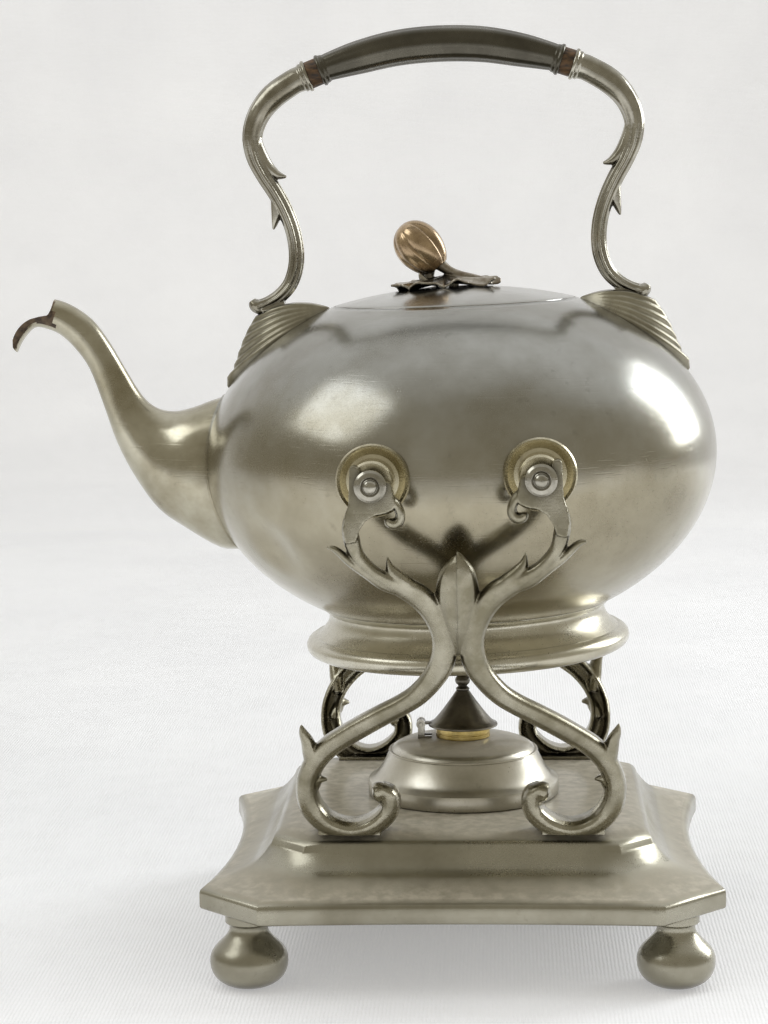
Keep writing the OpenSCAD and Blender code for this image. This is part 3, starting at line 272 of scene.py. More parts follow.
def toned(tree, pattern, dark, pale, low=0.35, high=0.65):
    """A finish's base colour, from dark to pale as a pattern goes from low to high."""
    share = add(tree, "MapRange", (pattern, low, high))
    return add(tree, "Mix", (share, dark, pale), data_type="RGBA")


def pewter(name, bright, dull, gloss, grain=0.0, dust=0.0, painted_hollow_shade=0.6, cloud=34.0,
           scratched=0.5, olive=None):
    """Old pewter, cast or spun: a soft grey tin alloy under a warm tarnish. Clouds of tarnish
    change its colour and gloss, ambient occlusion darkens its hollows as painted shade, and fine
    scratches cross it."""
    material, tree, shader = new_material(name)
    coordinates = add(tree, "TexCoord").outputs
    place = coordinates["Object"]
    clouds, mottle, grit, waves = (
        add(tree, "TexNoise", (place, 1 / (size * mm), detail, 0.6))
        for size, detail in ((cloud, 5.0), (5.0, 4.0), (0.7, 3.0), (16.0, 1.0)))
    colour = toned(tree, clouds, dull, bright)
    if olive:
        # The olive tarnish deepens from one height down to another, with an uneven edge
        height = add(tree, "SeparateXYZ", (place,)).outputs["Z"]
        uneven = add(tree, "MapRange", (clouds, 0.3, 0.7, -12 * mm, 12 * mm))
        height = add(tree, "Math", (height, uneven), operation="ADD")
        stained = add(tree, "MapRange", (height, olive[1] * mm, olive[0] * mm, 1.0, 0.0))
        tinted = add(tree, "Mix", (1.0, colour, "#fff5dc"), data_type="RGBA",
                     blend_type="MULTIPLY")
        colour = add(tree, "Mix", (stained, colour, tinted), data_type="RGBA")
    # Painted shade: ambient occlusion darkens the colour in hollows and tight corners
    hollow = add(tree, "AmbientOcclusion", {"Distance": 5.0 * mm}, samples=6).outputs["AO"]
    layers = [(add(tree, "MapRange", (mottle, 0.62, 0.76, 0.0, 0.24)), "#4d4639"),
              (add(tree, "MapRange", (hollow, 0.35, 0.95, painted_hollow_shade, 0.0)), "#39342a")]
    rough = add(tree, "Math", (add(tree, "MapRange", (clouds, 0.3, 0.7, gloss[1], gloss[0])),
                               add(tree, "MapRange", (grit, 0.3, 0.7, -0.03, 0.05))),
                operation="ADD")
    metal = 1.0
    if dust:
        up = add(tree, "SeparateXYZ", (coordinates["Normal"],)).outputs["Z"]
        film = add(tree, "MapRange", (up, 0.82, 0.99))
        for share in (add(tree, "MapRange", (mottle, 0.3, 0.62, 0.55, 1.0)), dust):
            film = add(tree, "Math", (film, share), operation="MULTIPLY")
        metal = add(tree, "MapRange", (film, 0.0, 1.0, 1.0, 0.1))
        rough = add(tree, "Math", (rough, film), operation="ADD", use_clamp=True)
        layers.append((film, "#d6cfbf"))
    for share, over in layers:
        colour = add(tree, "Mix", (share, colour, over), data_type="RGBA")
    # Scratches: thin lines where a stretched noise is at its highest
    scratch = None
    for turn in (18, 74, 131):
        tilted = add(tree, "Mapping", {
            "Vector": place, "Rotation": (0.2, math.radians(turn), math.radians(turn / 2)),
            "Scale": (25.0, 90.0, 1100.0)})
        line = add(tree, "MapRange", (add(tree, "TexNoise", (tilted, 1.0, 2.0)), 0.66, 0.72))
        scratch = add(tree, "Math", (scratch, line), operation="MAXIMUM") if scratch else line
    bump = add(tree, "Bump", {"Height": waves, "Strength": 0.25, "Distance": 0.5 * mm})
    bump = add(tree, "Bump", {"Height": scratch, "Strength": scratched, "Distance": 0.03 * mm,
                              "Normal": bump}, invert=True)
    bump = add(tree, "Bump", {"Height": grit, "Strength": min(1.0, 0.08 + grain),
                              "Distance": 0.12 * mm, "Normal": bump})
    # The coat is a thin film of wax and grease, which keeps the brightest reflections white
    feed(shader, {"Base Color": colour, "Metallic": metal, "Roughness": rough, "Normal": bump,
                  "Coat Weight": 0.5, "Coat Roughness": 0.16})
    return material


def finish_piece(piece, body, slot, *nodes):
    """Puts a finished piece on its body, in place of its solids."""
    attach(piece, body)
    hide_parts(*nodes)
    return piece


def lofted(bm, rings):
    """Extrudes the first ring of points from ring to ring, and closes both ends."""
    loop = [bm.verts.new(p) for p in rings[0]]
    edges = [bm.edges.new((loop[i - 1], loop[i])) for i in range(len(loop))]
    bm.faces.new(loop)
    for ring in rings[1:]:
        grown = bmesh.ops.extrude_edge_only(bm, edges=edges)["geom"]
        fresh = {v for v in grown if isinstance(v, bmesh.types.BMVert)}
        loop = [next(e.other_vert(v) for e in v.link_edges if e.other_vert(v) in fresh)
                for v in loop]
        edges = [bm.edges.get((loop[i - 1], loop[i])) for i in range(len(loop))]
        for vert, point in zip(loop, ring):
            vert.co = point
    bm.faces.new(loop)
    bmesh.ops.recalc_face_normals(bm, faces=bm.faces)
    return bm


def plinth_ring(half_w, cut, z):
    """Outline at one height: four bowed sides with the cut corners between them."""
    share = held((half_w - shoulder_half_w) / (rim_half_w - 3 - shoulder_half_w))
    points = []
    for quarter in range(4):
        bow = share * (rim_bow_side, rim_bow_front)[quarter % 2]
        for k in range(side_parts + 1):
            t = 2 * k / side_parts - 1
            side = Vector((half_w - bow * (1 - t * t), t * (half_w - cut), z)) * mm
            side.rotate(Matrix.Rotation(quarter * math.pi / 2, 3, "Z"))
            points.append(side)
    return points


def cove(share, z_share):
    """A station of the cove, from the shoulder out to the rim."""
    return (between(shoulder_half_w, rim_half_w, share),
            between(between(deck_cut, rim_cut, 0.3), rim_cut, share),
            between(rim_top_z, deck_z, z_share))


def crown(share, cut_share, z_share):
    """A station of the rounded crown, from the deck out to the shoulder."""
    return (between(deck_half_w, shoulder_half_w, share), between(deck_cut, rim_cut, cut_share),
            between(rim_top_z, deck_z, z_share))


outside = (
    [(rim_half_w - w, rim_cut - cut, z) for w, cut, z in (
        (1.6, 0.9, rim_z), (0.4, 0.2, rim_z + 0.3), (0, 0, rim_z + 1.2), (0, 0, rim_top_z - 1.8),
        (0.3, 0.2, rim_top_z - 0.8), (1.2, 0.7, rim_top_z), (3.4, 1.6, rim_top_z + 0.9))]
    + [cove(*shares) for shares in (
        (0.85, 0.05), (0.72, 0.085), (0.6, 0.125), (0.49, 0.17), (0.39, 0.22), (0.3, 0.28),
        (0.22, 0.35), (0.15, 0.43), (0.09, 0.52), (0.04, 0.61))]
    + [crown(1, 0.28, 0.69), (shoulder_half_w - 0.7, *crown(1, 0.26, 0.78)[1:])]
    + [crown(*shares) for shares in (
        (0.87, 0.21, 0.85), (0.76, 0.16, 0.9), (0.58, 0.11, 0.945), (0.4, 0.06, 0.975))]
    + [(deck_half_w, deck_cut, deck_z), (deck_half_w * 0.4, deck_cut * 0.4, deck_z)])
inside = [
    (rim_half_w - plinth_wall - 1, rim_cut - 1.3, rim_z),
    (rim_half_w - plinth_wall - 1.6, rim_cut - 1.3, rim_top_z - plinth_wall),
    (*cove(0.4, 0.17)[:2], cove(0.4, 0.17)[2] - plinth_wall),
    (shoulder_half_w - plinth_wall, rim_cut * 0.6, between(rim_top_z, deck_z, 0.4)),
    (deck_half_w + 7, deck_cut + 3, deck_z - plinth_wall - 1.6),
    (deck_half_w - plinth_wall, deck_cut, deck_z - plinth_wall)]
base_pewter = pewter("cast pewter, dusty on top", "#aeaa9a", "#898472", (0.24, 0.38), grain=0.16,
                     dust=0.95, painted_hollow_shade=0.45, cloud=60.0, scratched=0.35)
plinth = new_object("square_plinth", lofted(bmesh.new(), [
    plinth_ring(*r) for r in inside[::-1] + outside]), base_pewter, sharp=46)
edge_round = plinth.modifiers.new("rounded edges", "BEVEL")
edge_round.width = 0.7 * mm
edge_round.segments = 2
edge_round.angle_limit = math.radians(40)
edge_round.harden_normals = True
finish_piece(plinth, "stand", "pewter", "base_plinth")

# Bun feet: turned pewter balls, each with a narrow neck and a thin collar, soldered under the
# plinth's corners.
foot_xy = 79.2
foot_ball = [
    (0, 0), (5.2, 0.05), (6.6, 0.2), (8.4, 0.7), (10, 1.5), (11.6, 2.6), (12.9, 4), (13.8, 5.6),
    (14.4, 7.4), (14.6, 9.2), (14.5, 11), (13.95, 12.8), (12.95, 14.4), (11.6, 15.9),
    (10.1, 17.3), (8.8, 18.7), (7.8, 20), (7.25, 21.2), (7.1, 22.2), (7.15, 23.2), (7.5, 23.7),
    (8.3, 24), (8.7, 24.4), (8.7, 27.2), (0, 27.2)]


def shifted(x, y, z):
    return Matrix.Translation(Vector((x, y, z)) * mm)


def turned(bm, profile, steps=96, place=Matrix.Identity(4), closed=False):
    """Turns a profile of radius and height, in millimetres, round the vertical axis."""
    verts = [bm.verts.new((r * mm, 0, z * mm)) for r, z in profile]
    pairs = list(zip(verts, verts[1:])) + ([(verts[-1], verts[0])] if closed else [])
    edges = [bm.edges.new(pair) for pair in pairs]
    bmesh.ops.spin(bm, geom=verts + edges, cent=(0, 0, 0), axis=(0, 0, 1), angle=2 * math.pi,
                   steps=steps, use_merge=True)
    bmesh.ops.remove_doubles(bm, verts=bm.verts, dist=0.002 * mm)
    bmesh.ops.transform(bm, matrix=place, verts=bm.verts)
    bmesh.ops.recalc_face_normals(bm, faces=bm.faces)
    return bm


corners = [(f"{face_name}_{side_name}", side, face)
           for side_name, side in (("left", -1), ("right", 1))
           for face_name, face in (("front", -1), ("back", 1))]
for corner, side, face in corners:
    foot = turned(bmesh.new(), foot_ball, place=shifted(side * foot_xy, face * foot_xy, 0))
    finish_piece(new_object(f"bun_foot_{corner}", foot, base_pewter), "stand", "pewter",
                 f"foot_{corner}")

# Scroll arms: cast pewter, half round in front and hollow behind. Each pair meets in a pointed
# bud down the middle, and each arm ends in an open hook for one of the kettle's pins.
arm_foot_y = 63
hook_y = 112
hook_t = 6
slot_r = 3.85
master_deck_z = 54.5
master_pin_z = 190.9
master_pin_x = 29.8
arm_knee = 0.72
arm_foot_x = 41.7
arm_foot_size = (23.5, 14.6, 2.4)
seam_gap = 0.03
deck_gap = 0.06
low_pin, high_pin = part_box("trunnion_pin_front_left"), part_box("trunnion_pin_front_right")
left_pin = Vector((low_pin[0] + low_pin[1])) / 2 / mm
right_pin = Vector((high_pin[0] + high_pin[1])) / 2 / mm
arm_outline = [
    (-1, 0.05), (-0.94, -0.42), (-0.72, -0.8), (-0.36, -0.98), (0, -1.02), (0.36, -0.98),
    (0.72, -0.8), (0.94, -0.42), (1, 0.05), (0.98, 0.72), (0.72, 0.98), (0.46, 0.4), (0, 0.24),
    (-0.46, 0.4), (-0.72, 0.98), (-0.98, 0.72)]
round_outline = [on_oval(a) for a in range(0, 360, 30)]
# Stations of the main scroll from the hook down to the eye at its foot: x, z, half width and
# half depth
arm_strand = [
    (34.2, 183.6, 3.4, 2.9), (37.1, 177, 3, 3.1), (37, 171.4, 3, 3.4), (34.9, 165.2, 2.5, 3.6),
    (29.9, 159.4, 2.5, 3.8), (24.4, 155.6, 3.2, 4), (19.4, 153.4, 4.1, 4.1),
    (13.4, 149.4, 4.5, 4.2), (8.8, 143.6, 4.4, 4.4), (5.6, 136.4, 4.5, 4.6),
    (4.9, 129.4, 4.6, 4.7), (6.3, 122.8, 4.6, 4.8), (9.9, 116.6, 4.3, 4.8),
    (15, 110.9, 4.1, 4.8), (21, 106.7, 4, 4.8), (27.6, 103, 4.1, 4.8), (35.6, 98.3, 4.2, 4.8),
    (42.2, 94.1, 4.2, 4.8), (48.6, 89.5, 4.2, 5), (54, 83, 4.1, 5.4), (57.2, 74.6, 4.1, 6),
    (56.2, 65.4, 4.4, 6.8), (50.6, 58.2, 4.4, 7.6), (42, 54.9, 4.3, 8), (33.4, 57, 4.2, 7.8),
    (27, 63, 4, 7), (26.6, 69.6, 3.6, 6.2), (30, 72.6, 2.6, 5.4)]
# Leaves and spurs that spring from the scroll, the thick of its eye, and the hook's inner curl
arm_limbs = [
    [(22, 152.4, 2, 3.6), (26.6, 154.4, 2, 3.5), (32, 158.4, 1.7, 3.3), (37.6, 162.9, 1.7, 3),
     (41.8, 167, 1.4, 2.2), (44, 168.3, 1, 1.6), (46, 168.4, 0.4, 0.8)],
    [(13, 149.4, 2.6, 3.4), (17, 153.4, 3.2, 4), (20.6, 156.4, 3.1, 3.8), (22.8, 159.2, 2.4, 3),
     (23.9, 161.8, 1.3, 2), (24.4, 164.8, 0.3, 0.7)],
    [(54.2, 81, 3, 4.6), (55.2, 86.6, 3, 4.5), (56, 91.8, 2.6, 3.8), (57.5, 95.8, 1.7, 2.6),
     (58.2, 98.9, 0.4, 0.9)],
    [(57, 70.4, 2, 3.8), (55.2, 73.2, 2.6, 4.2), (52.8, 76.2, 2, 3.4), (49.4, 76.2, 0.5, 1.1)],
    [(28.2, 71.4, 3.4, 5.6), (29.8, 71, 4.3, 6.2), (31.2, 70.2, 4.1, 6.2), (32.4, 69.8, 2.6, 5)],
    [(26.4, 188.2, 1.6, 2.8), (24.2, 187, 1.6, 2.8), (21.4, 184.4, 1.8, 2.9),
     (19.7, 181.2, 1.8, 2.9), (19.8, 178.4, 1.9, 3), (21.6, 176.9, 2.1, 3),
     (23.6, 177.6, 1.9, 2.9), (23.8, 179, 1.3, 2.6)]]
# Stations of the bud down its middle: z, share of its width and share of its depth
bud_stations = [
    (165.3, 0.05, 0.1), (164.6, 0.2, 0.22), (163.3, 0.36, 0.4), (161.2, 0.6, 0.58),
    (158.2, 0.82, 0.76), (153.6, 0.96, 0.95), (148, 1, 1), (141, 0.88, 0.98), (134, 0.6, 0.84),
    (127.4, 0.24, 0.6)]
bud_outline = [
    (0, -1.16), (0.07, -1.02), (0.24, -0.94), (0.5, -0.82), (0.78, -0.56), (0.96, -0.2),
    (1, 0.1), (0.8, 0.5), (0, 0.62), (-0.8, 0.5), (-1, 0.1), (-0.96, -0.2), (-0.78, -0.56),
    (-0.5, -0.82), (-0.24, -0.94), (-0.07, -1.02)]
bud_half_w = 7.9
bud_depth = 6.6
# The hook's plate, seen from the front, from the middle of its pin
hook_outline = [
    (7.4, 5.4), (7.1, 6.4), (5.9, 7), (4.6, 6.6), (3.6, 4.6), (0, 1), (-3.4, 0.5), (-4.6, 1.25),
    (-5.7, 1.1), (-6.9, 0.5), (-7.5, -0.8), (-8, -3.4), (-8.5, -6.6), (-7.8, -8.6), (-5, -9.9),
    (-1.2, -10.6), (2, -12.6), (4.2, -16), (5.4, -20), (9, -20.5), (9.9, -15.5), (9.2, -10.5),
    (7.8, -6.5), (7.55, -1)]


def run_smooth(stations, parts):
    """Sets further stations on a smooth curve between the given ones."""
    last = len(stations) - 1
    made = []
    for i in range(last):
        a, b, c, d = (Vector(stations[j]) for j in (max(0, i - 1), i, i + 1, min(last, i + 2)))
        for k in range(parts):
            t = k / parts
            made.append(0.5 * (2 * b + (c - a) * t + (2 * a - 5 * b + 4 * c - d) * t * t
                               + (3 * b - a - 3 * c + d) * t ** 3))
    return made + [Vector(stations[last])]


def swept(bm, stations, outline, place, parts=4):
    """Sweeps an outline, or one that changes along the way, over stations of x, z, half width
    and half depth."""
    run = run_smooth(stations, parts)
    rings = []
    for i, at in enumerate(run):
        ahead, behind = run[min(len(run) - 1, i + 1)], run[max(0, i - 1)]
        along = (ahead - behind).to_2d().normalized()
        section = outline(at) if callable(outline) else outline
        rings.append([place(at[0] - along.y * u * at[2], at[1] + along.x * u * at[2], v * at[3])
                      for u, v in section])
    return lofted(bm, rings)


def block(middle, size, frame=Matrix.Identity(4), bm=None):
    """A box of a size in millimetres about its middle, in a frame of its own."""
    bm = bm or bmesh.new()
    bmesh.ops.create_cube(bm, size=1.0, matrix=frame @ shifted(*middle)
                          @ Matrix.Diagonal([side * mm for side in size] + [1]))
    return bm


def applied(piece):
    """Turns the modified shape into the piece's own mesh."""
    bpy.context.view_layer.update()
    shape = bpy.data.meshes.new_from_object(
        piece.evaluated_get(bpy.context.evaluated_depsgraph_get()))
    piece.modifiers.clear()
    piece.data = shape


def fused(piece, voxel, smooth_steps):
    """Melts the overlapping limbs of a casting into one skin with small fillets."""
    melt = piece.modifiers.new("one casting", "REMESH")
    melt.mode = "VOXEL"
    melt.voxel_size = voxel * mm
    melt.use_smooth_shade = True
    soften = piece.modifiers.new("fillets", "SMOOTH")
    soften.factor = 0.5
    soften.iterations = smooth_steps
    applied(piece)


def cut_away(piece, bm, operation="DIFFERENCE"):
    """Cuts the shape in bm out of a piece, or all that is outside it."""
    mesh = bpy.data.meshes.new("cutter")
    bmesh.ops.recalc_face_normals(bm, faces=bm.faces)
    bm.to_mesh(mesh)
    bm.free()
    cutter = bpy.data.objects.new("cutter", mesh)
    bpy.context.scene.collection.objects.link(cutter)
    cut = piece.modifiers.new("cut", "BOOLEAN")
    cut.operation = operation
    cut.solver = "EXACT"
    cut.object = cutter
    applied(piece)
    bpy.data.objects.remove(cutter)


def set_in_place(piece, place, sharp):
    """Moves, turns or mirrors a piece in its own mesh."""
    bm = bmesh.new()
    bm.from_mesh(piece.data)
    name, material = piece.name, piece.data.materials[0]
    bpy.data.objects.remove(piece)
    bmesh.ops.transform(bm, matrix=place, verts=bm.verts)
    bmesh.ops.recalc_face_normals(bm, faces=bm.faces)
    return new_object(name, bm, material, sharp)


# Its ridges show bright against painted shade, which ambient occlusion lays darkly into its
# hollows
cast_pewter = pewter("cast pewter, painted shade in its hollows", "#aca795", "#7f7963", (0.2, 0.36),
                     grain=0.22, painted_hollow_shade=0.95, cloud=16.0, scratched=0.4)


def scroll_arm(name, side, face):
    pin = right_pin if side > 0 else left_pin
    lift = pin.z - left_pin.z

    def lean(t):
        s = held(t)
        bent = s if s < arm_knee else s - (s - arm_knee) ** 2 / (2 * (1 - arm_knee))
        return arm_foot_y + (hook_y - arm_foot_y) * 2 / (1 + arm_knee) * (t if t < 0 else bent)

    def eased(t):
        return t * t * (3 - 2 * t)

    def at(x, z, depth):
        t = (z - master_deck_z) / (master_pin_z - master_deck_z)
        pull = (abs(pin.x) - master_pin_x) * eased(held((t - 0.6) / 0.4))
        high = deck_z + (left_pin.z - deck_z) * t + lift * eased(held((t - 0.5) / 0.45))
        return Vector((x + pull, -lean(t) + depth, high)) * mm

    def at_pin(outline, ends):
        return [[Vector((abs(pin.x) + x, y, pin.z + z)) * mm for x, z in outline] for y in ends]

    bm = swept(bmesh.new(), arm_strand, arm_outline, at)
    for limb in arm_limbs:
        swept(bm, limb, round_outline, at)
    lofted(bm, [[at(u * bud_half_w * w, z, v * bud_depth * d) for u, v in bud_outline]
                for z, w, d in run_smooth(bud_stations, 3)])
    lofted(bm, at_pin(hook_outline, (-hook_y - hook_t / 2, -hook_y + hook_t / 2)))
    block((arm_foot_x, -arm_foot_y + 0.1, deck_z + 0.2), arm_foot_size, bm=bm)
    arm = new_object(name, bm, cast_pewter)
    fused(arm, 0.46, 3)
    # Each half stops at the seam, the slot is open upwards, and the foot stands on the deck
    slot = [on_oval(a, slot_r, slot_r) for a in range(180, 361, 9)] + [(slot_r, 30), (-slot_r, 30)]
    cut_away(arm, block((seam_gap - 30, -100, 150), (60, 200, 400)))
    cut_away(arm, lofted(bmesh.new(), at_pin(slot, (-150, -80))))
    cut_away(arm, block((40, -65, deck_z - 20 + deck_gap), (90, 60, 40)))
    return set_in_place(arm, Matrix.Diagonal((side, -face, 1, 1)), sharp=50)


for corner, side, face in corners:
    finish_piece(scroll_arm(f"scroll_arm_{corner}", side, face), "stand", "pewter",
                 f"arm_{corner}")

# Burner: a spun pewter tank for the spirit, stepped once under its top. Its screwed collar is
# bare brass, and dust dulls its top.
burner_r = 38
burner_band_h = 6.6
burner_step_r = 29.5
burner_step_h = 17
burner_top_h = 22.6
collar_r = 10.7
collar_h = 4.2
burner_top_z = deck_z + burner_top_h
font_profile = (
    [(36.2, 0.1), (burner_r - 0.7, 0.12), (burner_r - 0.1, 0.5), (burner_r, 1.2),
     (burner_r - 0.15, burner_band_h - 1.2), (burner_r - 0.35, burner_band_h - 0.5),
     (burner_r - 0.9, burner_band_h - 0.1)]
    + [(between(burner_r - 1.1, burner_step_r, (t / 12) ** 0.6),
        between(burner_band_h + 0.1, burner_step_h, t / 12)) for t in range(1, 13)]
    + [(burner_step_r + r, burner_step_h + z)
       for r, z in ((0.25, 0.3), (0.1, 0.7), (-0.5, 0.75), (-0.9, 0.55))]
    + [(between(9.1, burner_step_r - 1.2, math.cos(math.radians(a))),
        between(burner_step_h + 0.7, burner_top_h, math.sin(math.radians(a))))
       for a in range(8, 91, 6)]
    + [(9.1, burner_top_h - 1.2), (23.5, burner_top_h - 2.8), (26.5, burner_step_h - 1.6),
       (27.5, burner_step_h - 3.4), (29.3, 10), (35, burner_band_h - 0.6)])
burner_pewter = pewter("spun pewter, dusty on top", "#d4d0c4", "#b6b1a1", (0.26, 0.38),
                       grain=0.2, dust=1.0, painted_hollow_shade=0.6, cloud=26.0, scratched=0.3)
font = turned(bmesh.new(), font_profile, steps=128, place=shifted(0, 0, deck_z), closed=True)
finish_piece(new_object("spirit_tank", font, burner_pewter, sharp=32), "burner", "pewter",
             "burner_font")


def old_brass():
    """Bare brass: yellow, dull with age, and brighter where it is rubbed."""
    material, tree, shader = new_material("bare brass")
    place = add(tree, "TexCoord").outputs["Object"]
    clouds, grit = (add(tree, "TexNoise", (place, 1 / (size * mm), detail, 0.6))
                    for size, detail in ((6.0, 4.0), (0.6, 3.0)))
    feed(shader, {
        "Base Color": toned(tree, clouds, "#ab9454", "#dfca8a", 0.3, 0.7), "Metallic": 1.0,
        "Roughness": add(tree, "MapRange", (grit, 0.3, 0.7, 0.28, 0.44)),
        "Normal": add(tree, "Bump", {"Height": grit, "Strength": 0.15, "Distance": 0.1 * mm})})
    return material


brass = old_brass()
collar_profile = [
    (3.62, 2.8), (3.62, 1.6), (7.9, 1.6), (7.9, -4), (9, -4), (9, 0), (collar_r - 0.2, 0),
    (collar_r, 0.2), (collar_r, 1.5), (collar_r - 0.25, 1.7), (collar_r - 0.25, 2.1),
    (collar_r, 2.3), (collar_r, collar_h - 0.2), (collar_r - 0.2, collar_h),
    (collar_r - 0.6, collar_h), (collar_r - 0.7, 2.8)]
collar = turned(bmesh.new(), collar_profile, place=shifted(0, 0, burner_top_z + 0.05),
                closed=True)
finish_piece(new_object("brass_collar", collar, brass, sharp=30), "wick_holder", "brass",
             "burner_collar")

# Wick: plaited cotton, soft and matt, in a thin brass tube. It is hidden while the snuffer is
# down.
wick_material, tree, shader = new_material("plaited cotton")
plait = add(tree, "TexWave", (add(tree, "TexCoord").outputs["Object"], 500.0, 3.0),
            bands_direction="DIAGONAL").outputs["Fac"]
feed(shader, {
    "Base Color": add(tree, "Mix", (plait, "#b9b09b", "#e2dccb"), data_type="RGBA"),
    "Normal": add(tree, "Bump", {"Height": plait, "Strength": 0.6, "Distance": 0.2 * mm}),
    "Roughness": 0.95})
for node, material in (("wick", wick_material), ("wick_tube", brass)):
    frame["nodes"][node].data.materials.clear()
    frame["nodes"][node].data.materials.append(material)

# Snuffer: a spun pewter cone with a bead and a small knob on its tip, hinged at the spout side
# of the collar by a curled strap. Heat and handling have left it dark.
cone_z = burner_top_z + collar_h + 0.12
cone_r = 13.8
cone_h = 14.2
snuffer_pewter = pewter("spun pewter, dark from the flame", "#7d776a", "#59544a", (0.3, 0.44),
                        grain=0.16, painted_hollow_shade=0.7, cloud=14.0, scratched=0.4)
cone_profile = (
    [(cone_r - 1.6, 0), (cone_r - 0.5, 0), (cone_r - 0.1, 0.2), (cone_r, 0.55),
     (cone_r - 0.1, 0.9), (cone_r - 0.6, 1.15)]
    + [(between(cone_r - 1.2, 2.5, (t / 14) ** 0.86), 1.3 + (cone_h - 1.3) * t / 14)
       for t in range(15)]
    + [(0, cone_h), (0, cone_h - 3)]
    + [(max(0.4, between(cone_r - 0.8, 2.5, (t / 8) ** 0.86) - 1.35), 1 + (cone_h - 1) * t / 8)
       for t in range(7, -1, -1)])
bm = turned(bmesh.new(), cone_profile, place=shifted(0, 0, cone_z), closed=True)
block((-cone_r - 0.6, 0, cone_z + 1), (4.6, 2.9, 0.9), bm=bm)
bmesh.ops.create_cone(bm, cap_ends=True, segments=32, radius1=1.75 * mm, radius2=1.75 * mm,
                      depth=2.9 * mm, matrix=shifted(-cone_r - 2.9, 0, cone_z + 0.9)
                      @ Matrix.Rotation(math.pi / 2, 4, "X"))
finish_piece(new_object("snuffer_cone_spun", bm, snuffer_pewter, sharp=32), "snuffer",
             "dark_pewter", "snuffer_cone")
knob_profile = (
    [(0, 0.02), (2.3, 0.02), (2.7, 0.4), (2.7, 0.8), (2.2, 1.2), (1.75, 1.7)]
    + [on_oval(a, 3, 2.4, (0, 4)) for a in range(-50, 90, 12)] + [(0, 6.4)])
knob = turned(bmesh.new(), knob_profile, steps=64, place=shifted(0, 0, cone_z + cone_h))
finish_piece(new_object("snuffer_knob_turned", knob, snuffer_pewter, sharp=35), "snuffer",
             "dark_pewter", "snuffer_knob")

# Kettle body: a spun pewter ball, flattened above and below, with a wide mouth for the lid. It
# hangs leaning slightly towards the spout, and carries a few old dents.
body_r = 100
body_z = 188.8
shoulder_h = 68.3
belly_h = 70.2
wall = 1.8
lid_r = 46.5
lid_rise = 5.8
mouth_r = lid_r + 0.4
water_hole_r = 14
solder_gap = 0.06
kettle_lean = math.atan2(right_pin.z - left_pin.z, right_pin.x - left_pin.x)
kettle_hang = (shifted(*left_pin) @ Matrix.Rotation(-kettle_lean, 4, "Y")
               @ shifted(*-left_pin))
# Dents: place on the skin, reach and depth
dents = [((-66, -58, 166), 16, 3.6), ((-76, -40, 174), 13, 1.6), ((-38, -82, 216), 20, 0.5),
         ((58, -74, 172), 22, 0.45), ((20, 90, 200), 24, 0.6), ((-40, 84, 160), 18, 0.7)]


def shoulder_z(r):
    return body_z + shoulder_h * math.sqrt(max(0.0, 1 - (r / body_r) ** 2))


def belly_z(r):
    return body_z - belly_h * math.sqrt(max(0.0, 1 - (r / body_r) ** 2))


def body_curve(inset, low, high, parts):
    return [(on_oval(a, body_r - inset)[0],
             on_oval(a, 1, (belly_h if a < 0 else shoulder_h) - inset, (0, body_z))[1])
            for a in (low + (high - low) * k / parts for k in range(parts + 1))]


def body_solid(grow):
    """The body's outer form, grown by a little, as a shape to cut with."""
    return turned(bmesh.new(), body_curve(-grow, -90, 90, 60))


mouth_angle = math.degrees(math.acos(mouth_r / body_r))
skin = body_curve(0, -90, mouth_angle - 0.15, 90)
rim_lip = [(mouth_r + 0.04, skin[-1][1] - 0.1), (mouth_r, skin[-1][1] - 0.32)]
bm = turned(bmesh.new(), skin + rim_lip + body_curve(wall, -90, mouth_angle, 60)[::-1],
            steps=160)
for centre, reach, depth in dents:
    middle = Vector(centre) * mm
    for vert in bm.verts:
        near = (vert.co - middle).length / (reach * mm)
        if near < 1:
            inward = (Vector((0, 0, body_z * mm)) - vert.co).normalized()
            vert.co += inward * depth * mm * (1 - near * near) ** 2
bmesh.ops.transform(bm, matrix=kettle_hang, verts=bm.verts)
spun_pewter = pewter("spun pewter, handled smooth", "#adada8", "#8f8d84", (0.17, 0.27),
                     painted_hollow_shade=0.25, cloud=46.0, scratched=0.45, olive=(222, 180))
body = new_object("kettle_body", bm, spun_pewter, sharp=50)
water_hole = bmesh.new()
bmesh.ops.create_cone(water_hole, cap_ends=True, segments=64, radius1=water_hole_r * mm,
                      radius2=water_hole_r * mm, depth=40 * mm,
                      matrix=kettle_hang @ shifted(-body_r, 0, body_z - 4)
                      @ Matrix.Rotation(math.pi / 2, 4, "Y"))
cut_away(body, water_hole)
finish_piece(body, "kettle", "pewter", "kettle_bowl", "kettle_belt", "kettle_shoulder")

# Foot ring: a hollow ring of spun pewter under the belly, with a rounded bead at its foot.
ring_top_r = 55.5
ring_bead_r = 63.8
ring_top_z = belly_z(ring_top_r)
ring_low_z = ring_top_z - 18.5
ring_profile = (
    [(ring_top_r - 4.6, ring_top_z + 0.2), (ring_top_r - 2, belly_z(ring_top_r - 2) - 0.06),
     (ring_top_r + 0.9, belly_z(ring_top_r + 0.9) - 0.06), (ring_top_r + 0.8, ring_top_z + 0.1),
     (ring_top_r + 0.2, ring_top_z - 0.7), (ring_top_r - 0.9, ring_top_z - 1.3)]
    + [(between(ring_top_r - 1.3, ring_bead_r - 4.2, (t / 12) ** 2.2),
        between(ring_top_z - 2, ring_low_z + 8, t / 12)) for t in range(13)]
    + [(ring_bead_r - r, ring_low_z + z) for r, z in ((3.4, 8.05), (2.7, 7.7), (2.2, 7.3))]
    + [on_oval(a, 3.6, 3.6, (ring_bead_r - 3.6, ring_low_z + 4)) for a in range(62, -71, -12)]
    + [(ring_bead_r - r, ring_low_z + z) for r, z in ((3.4, 0.1), (4.4, 0), (6.5, 0))]
    + [(ring_top_r - 3.4, ring_low_z + 8)])
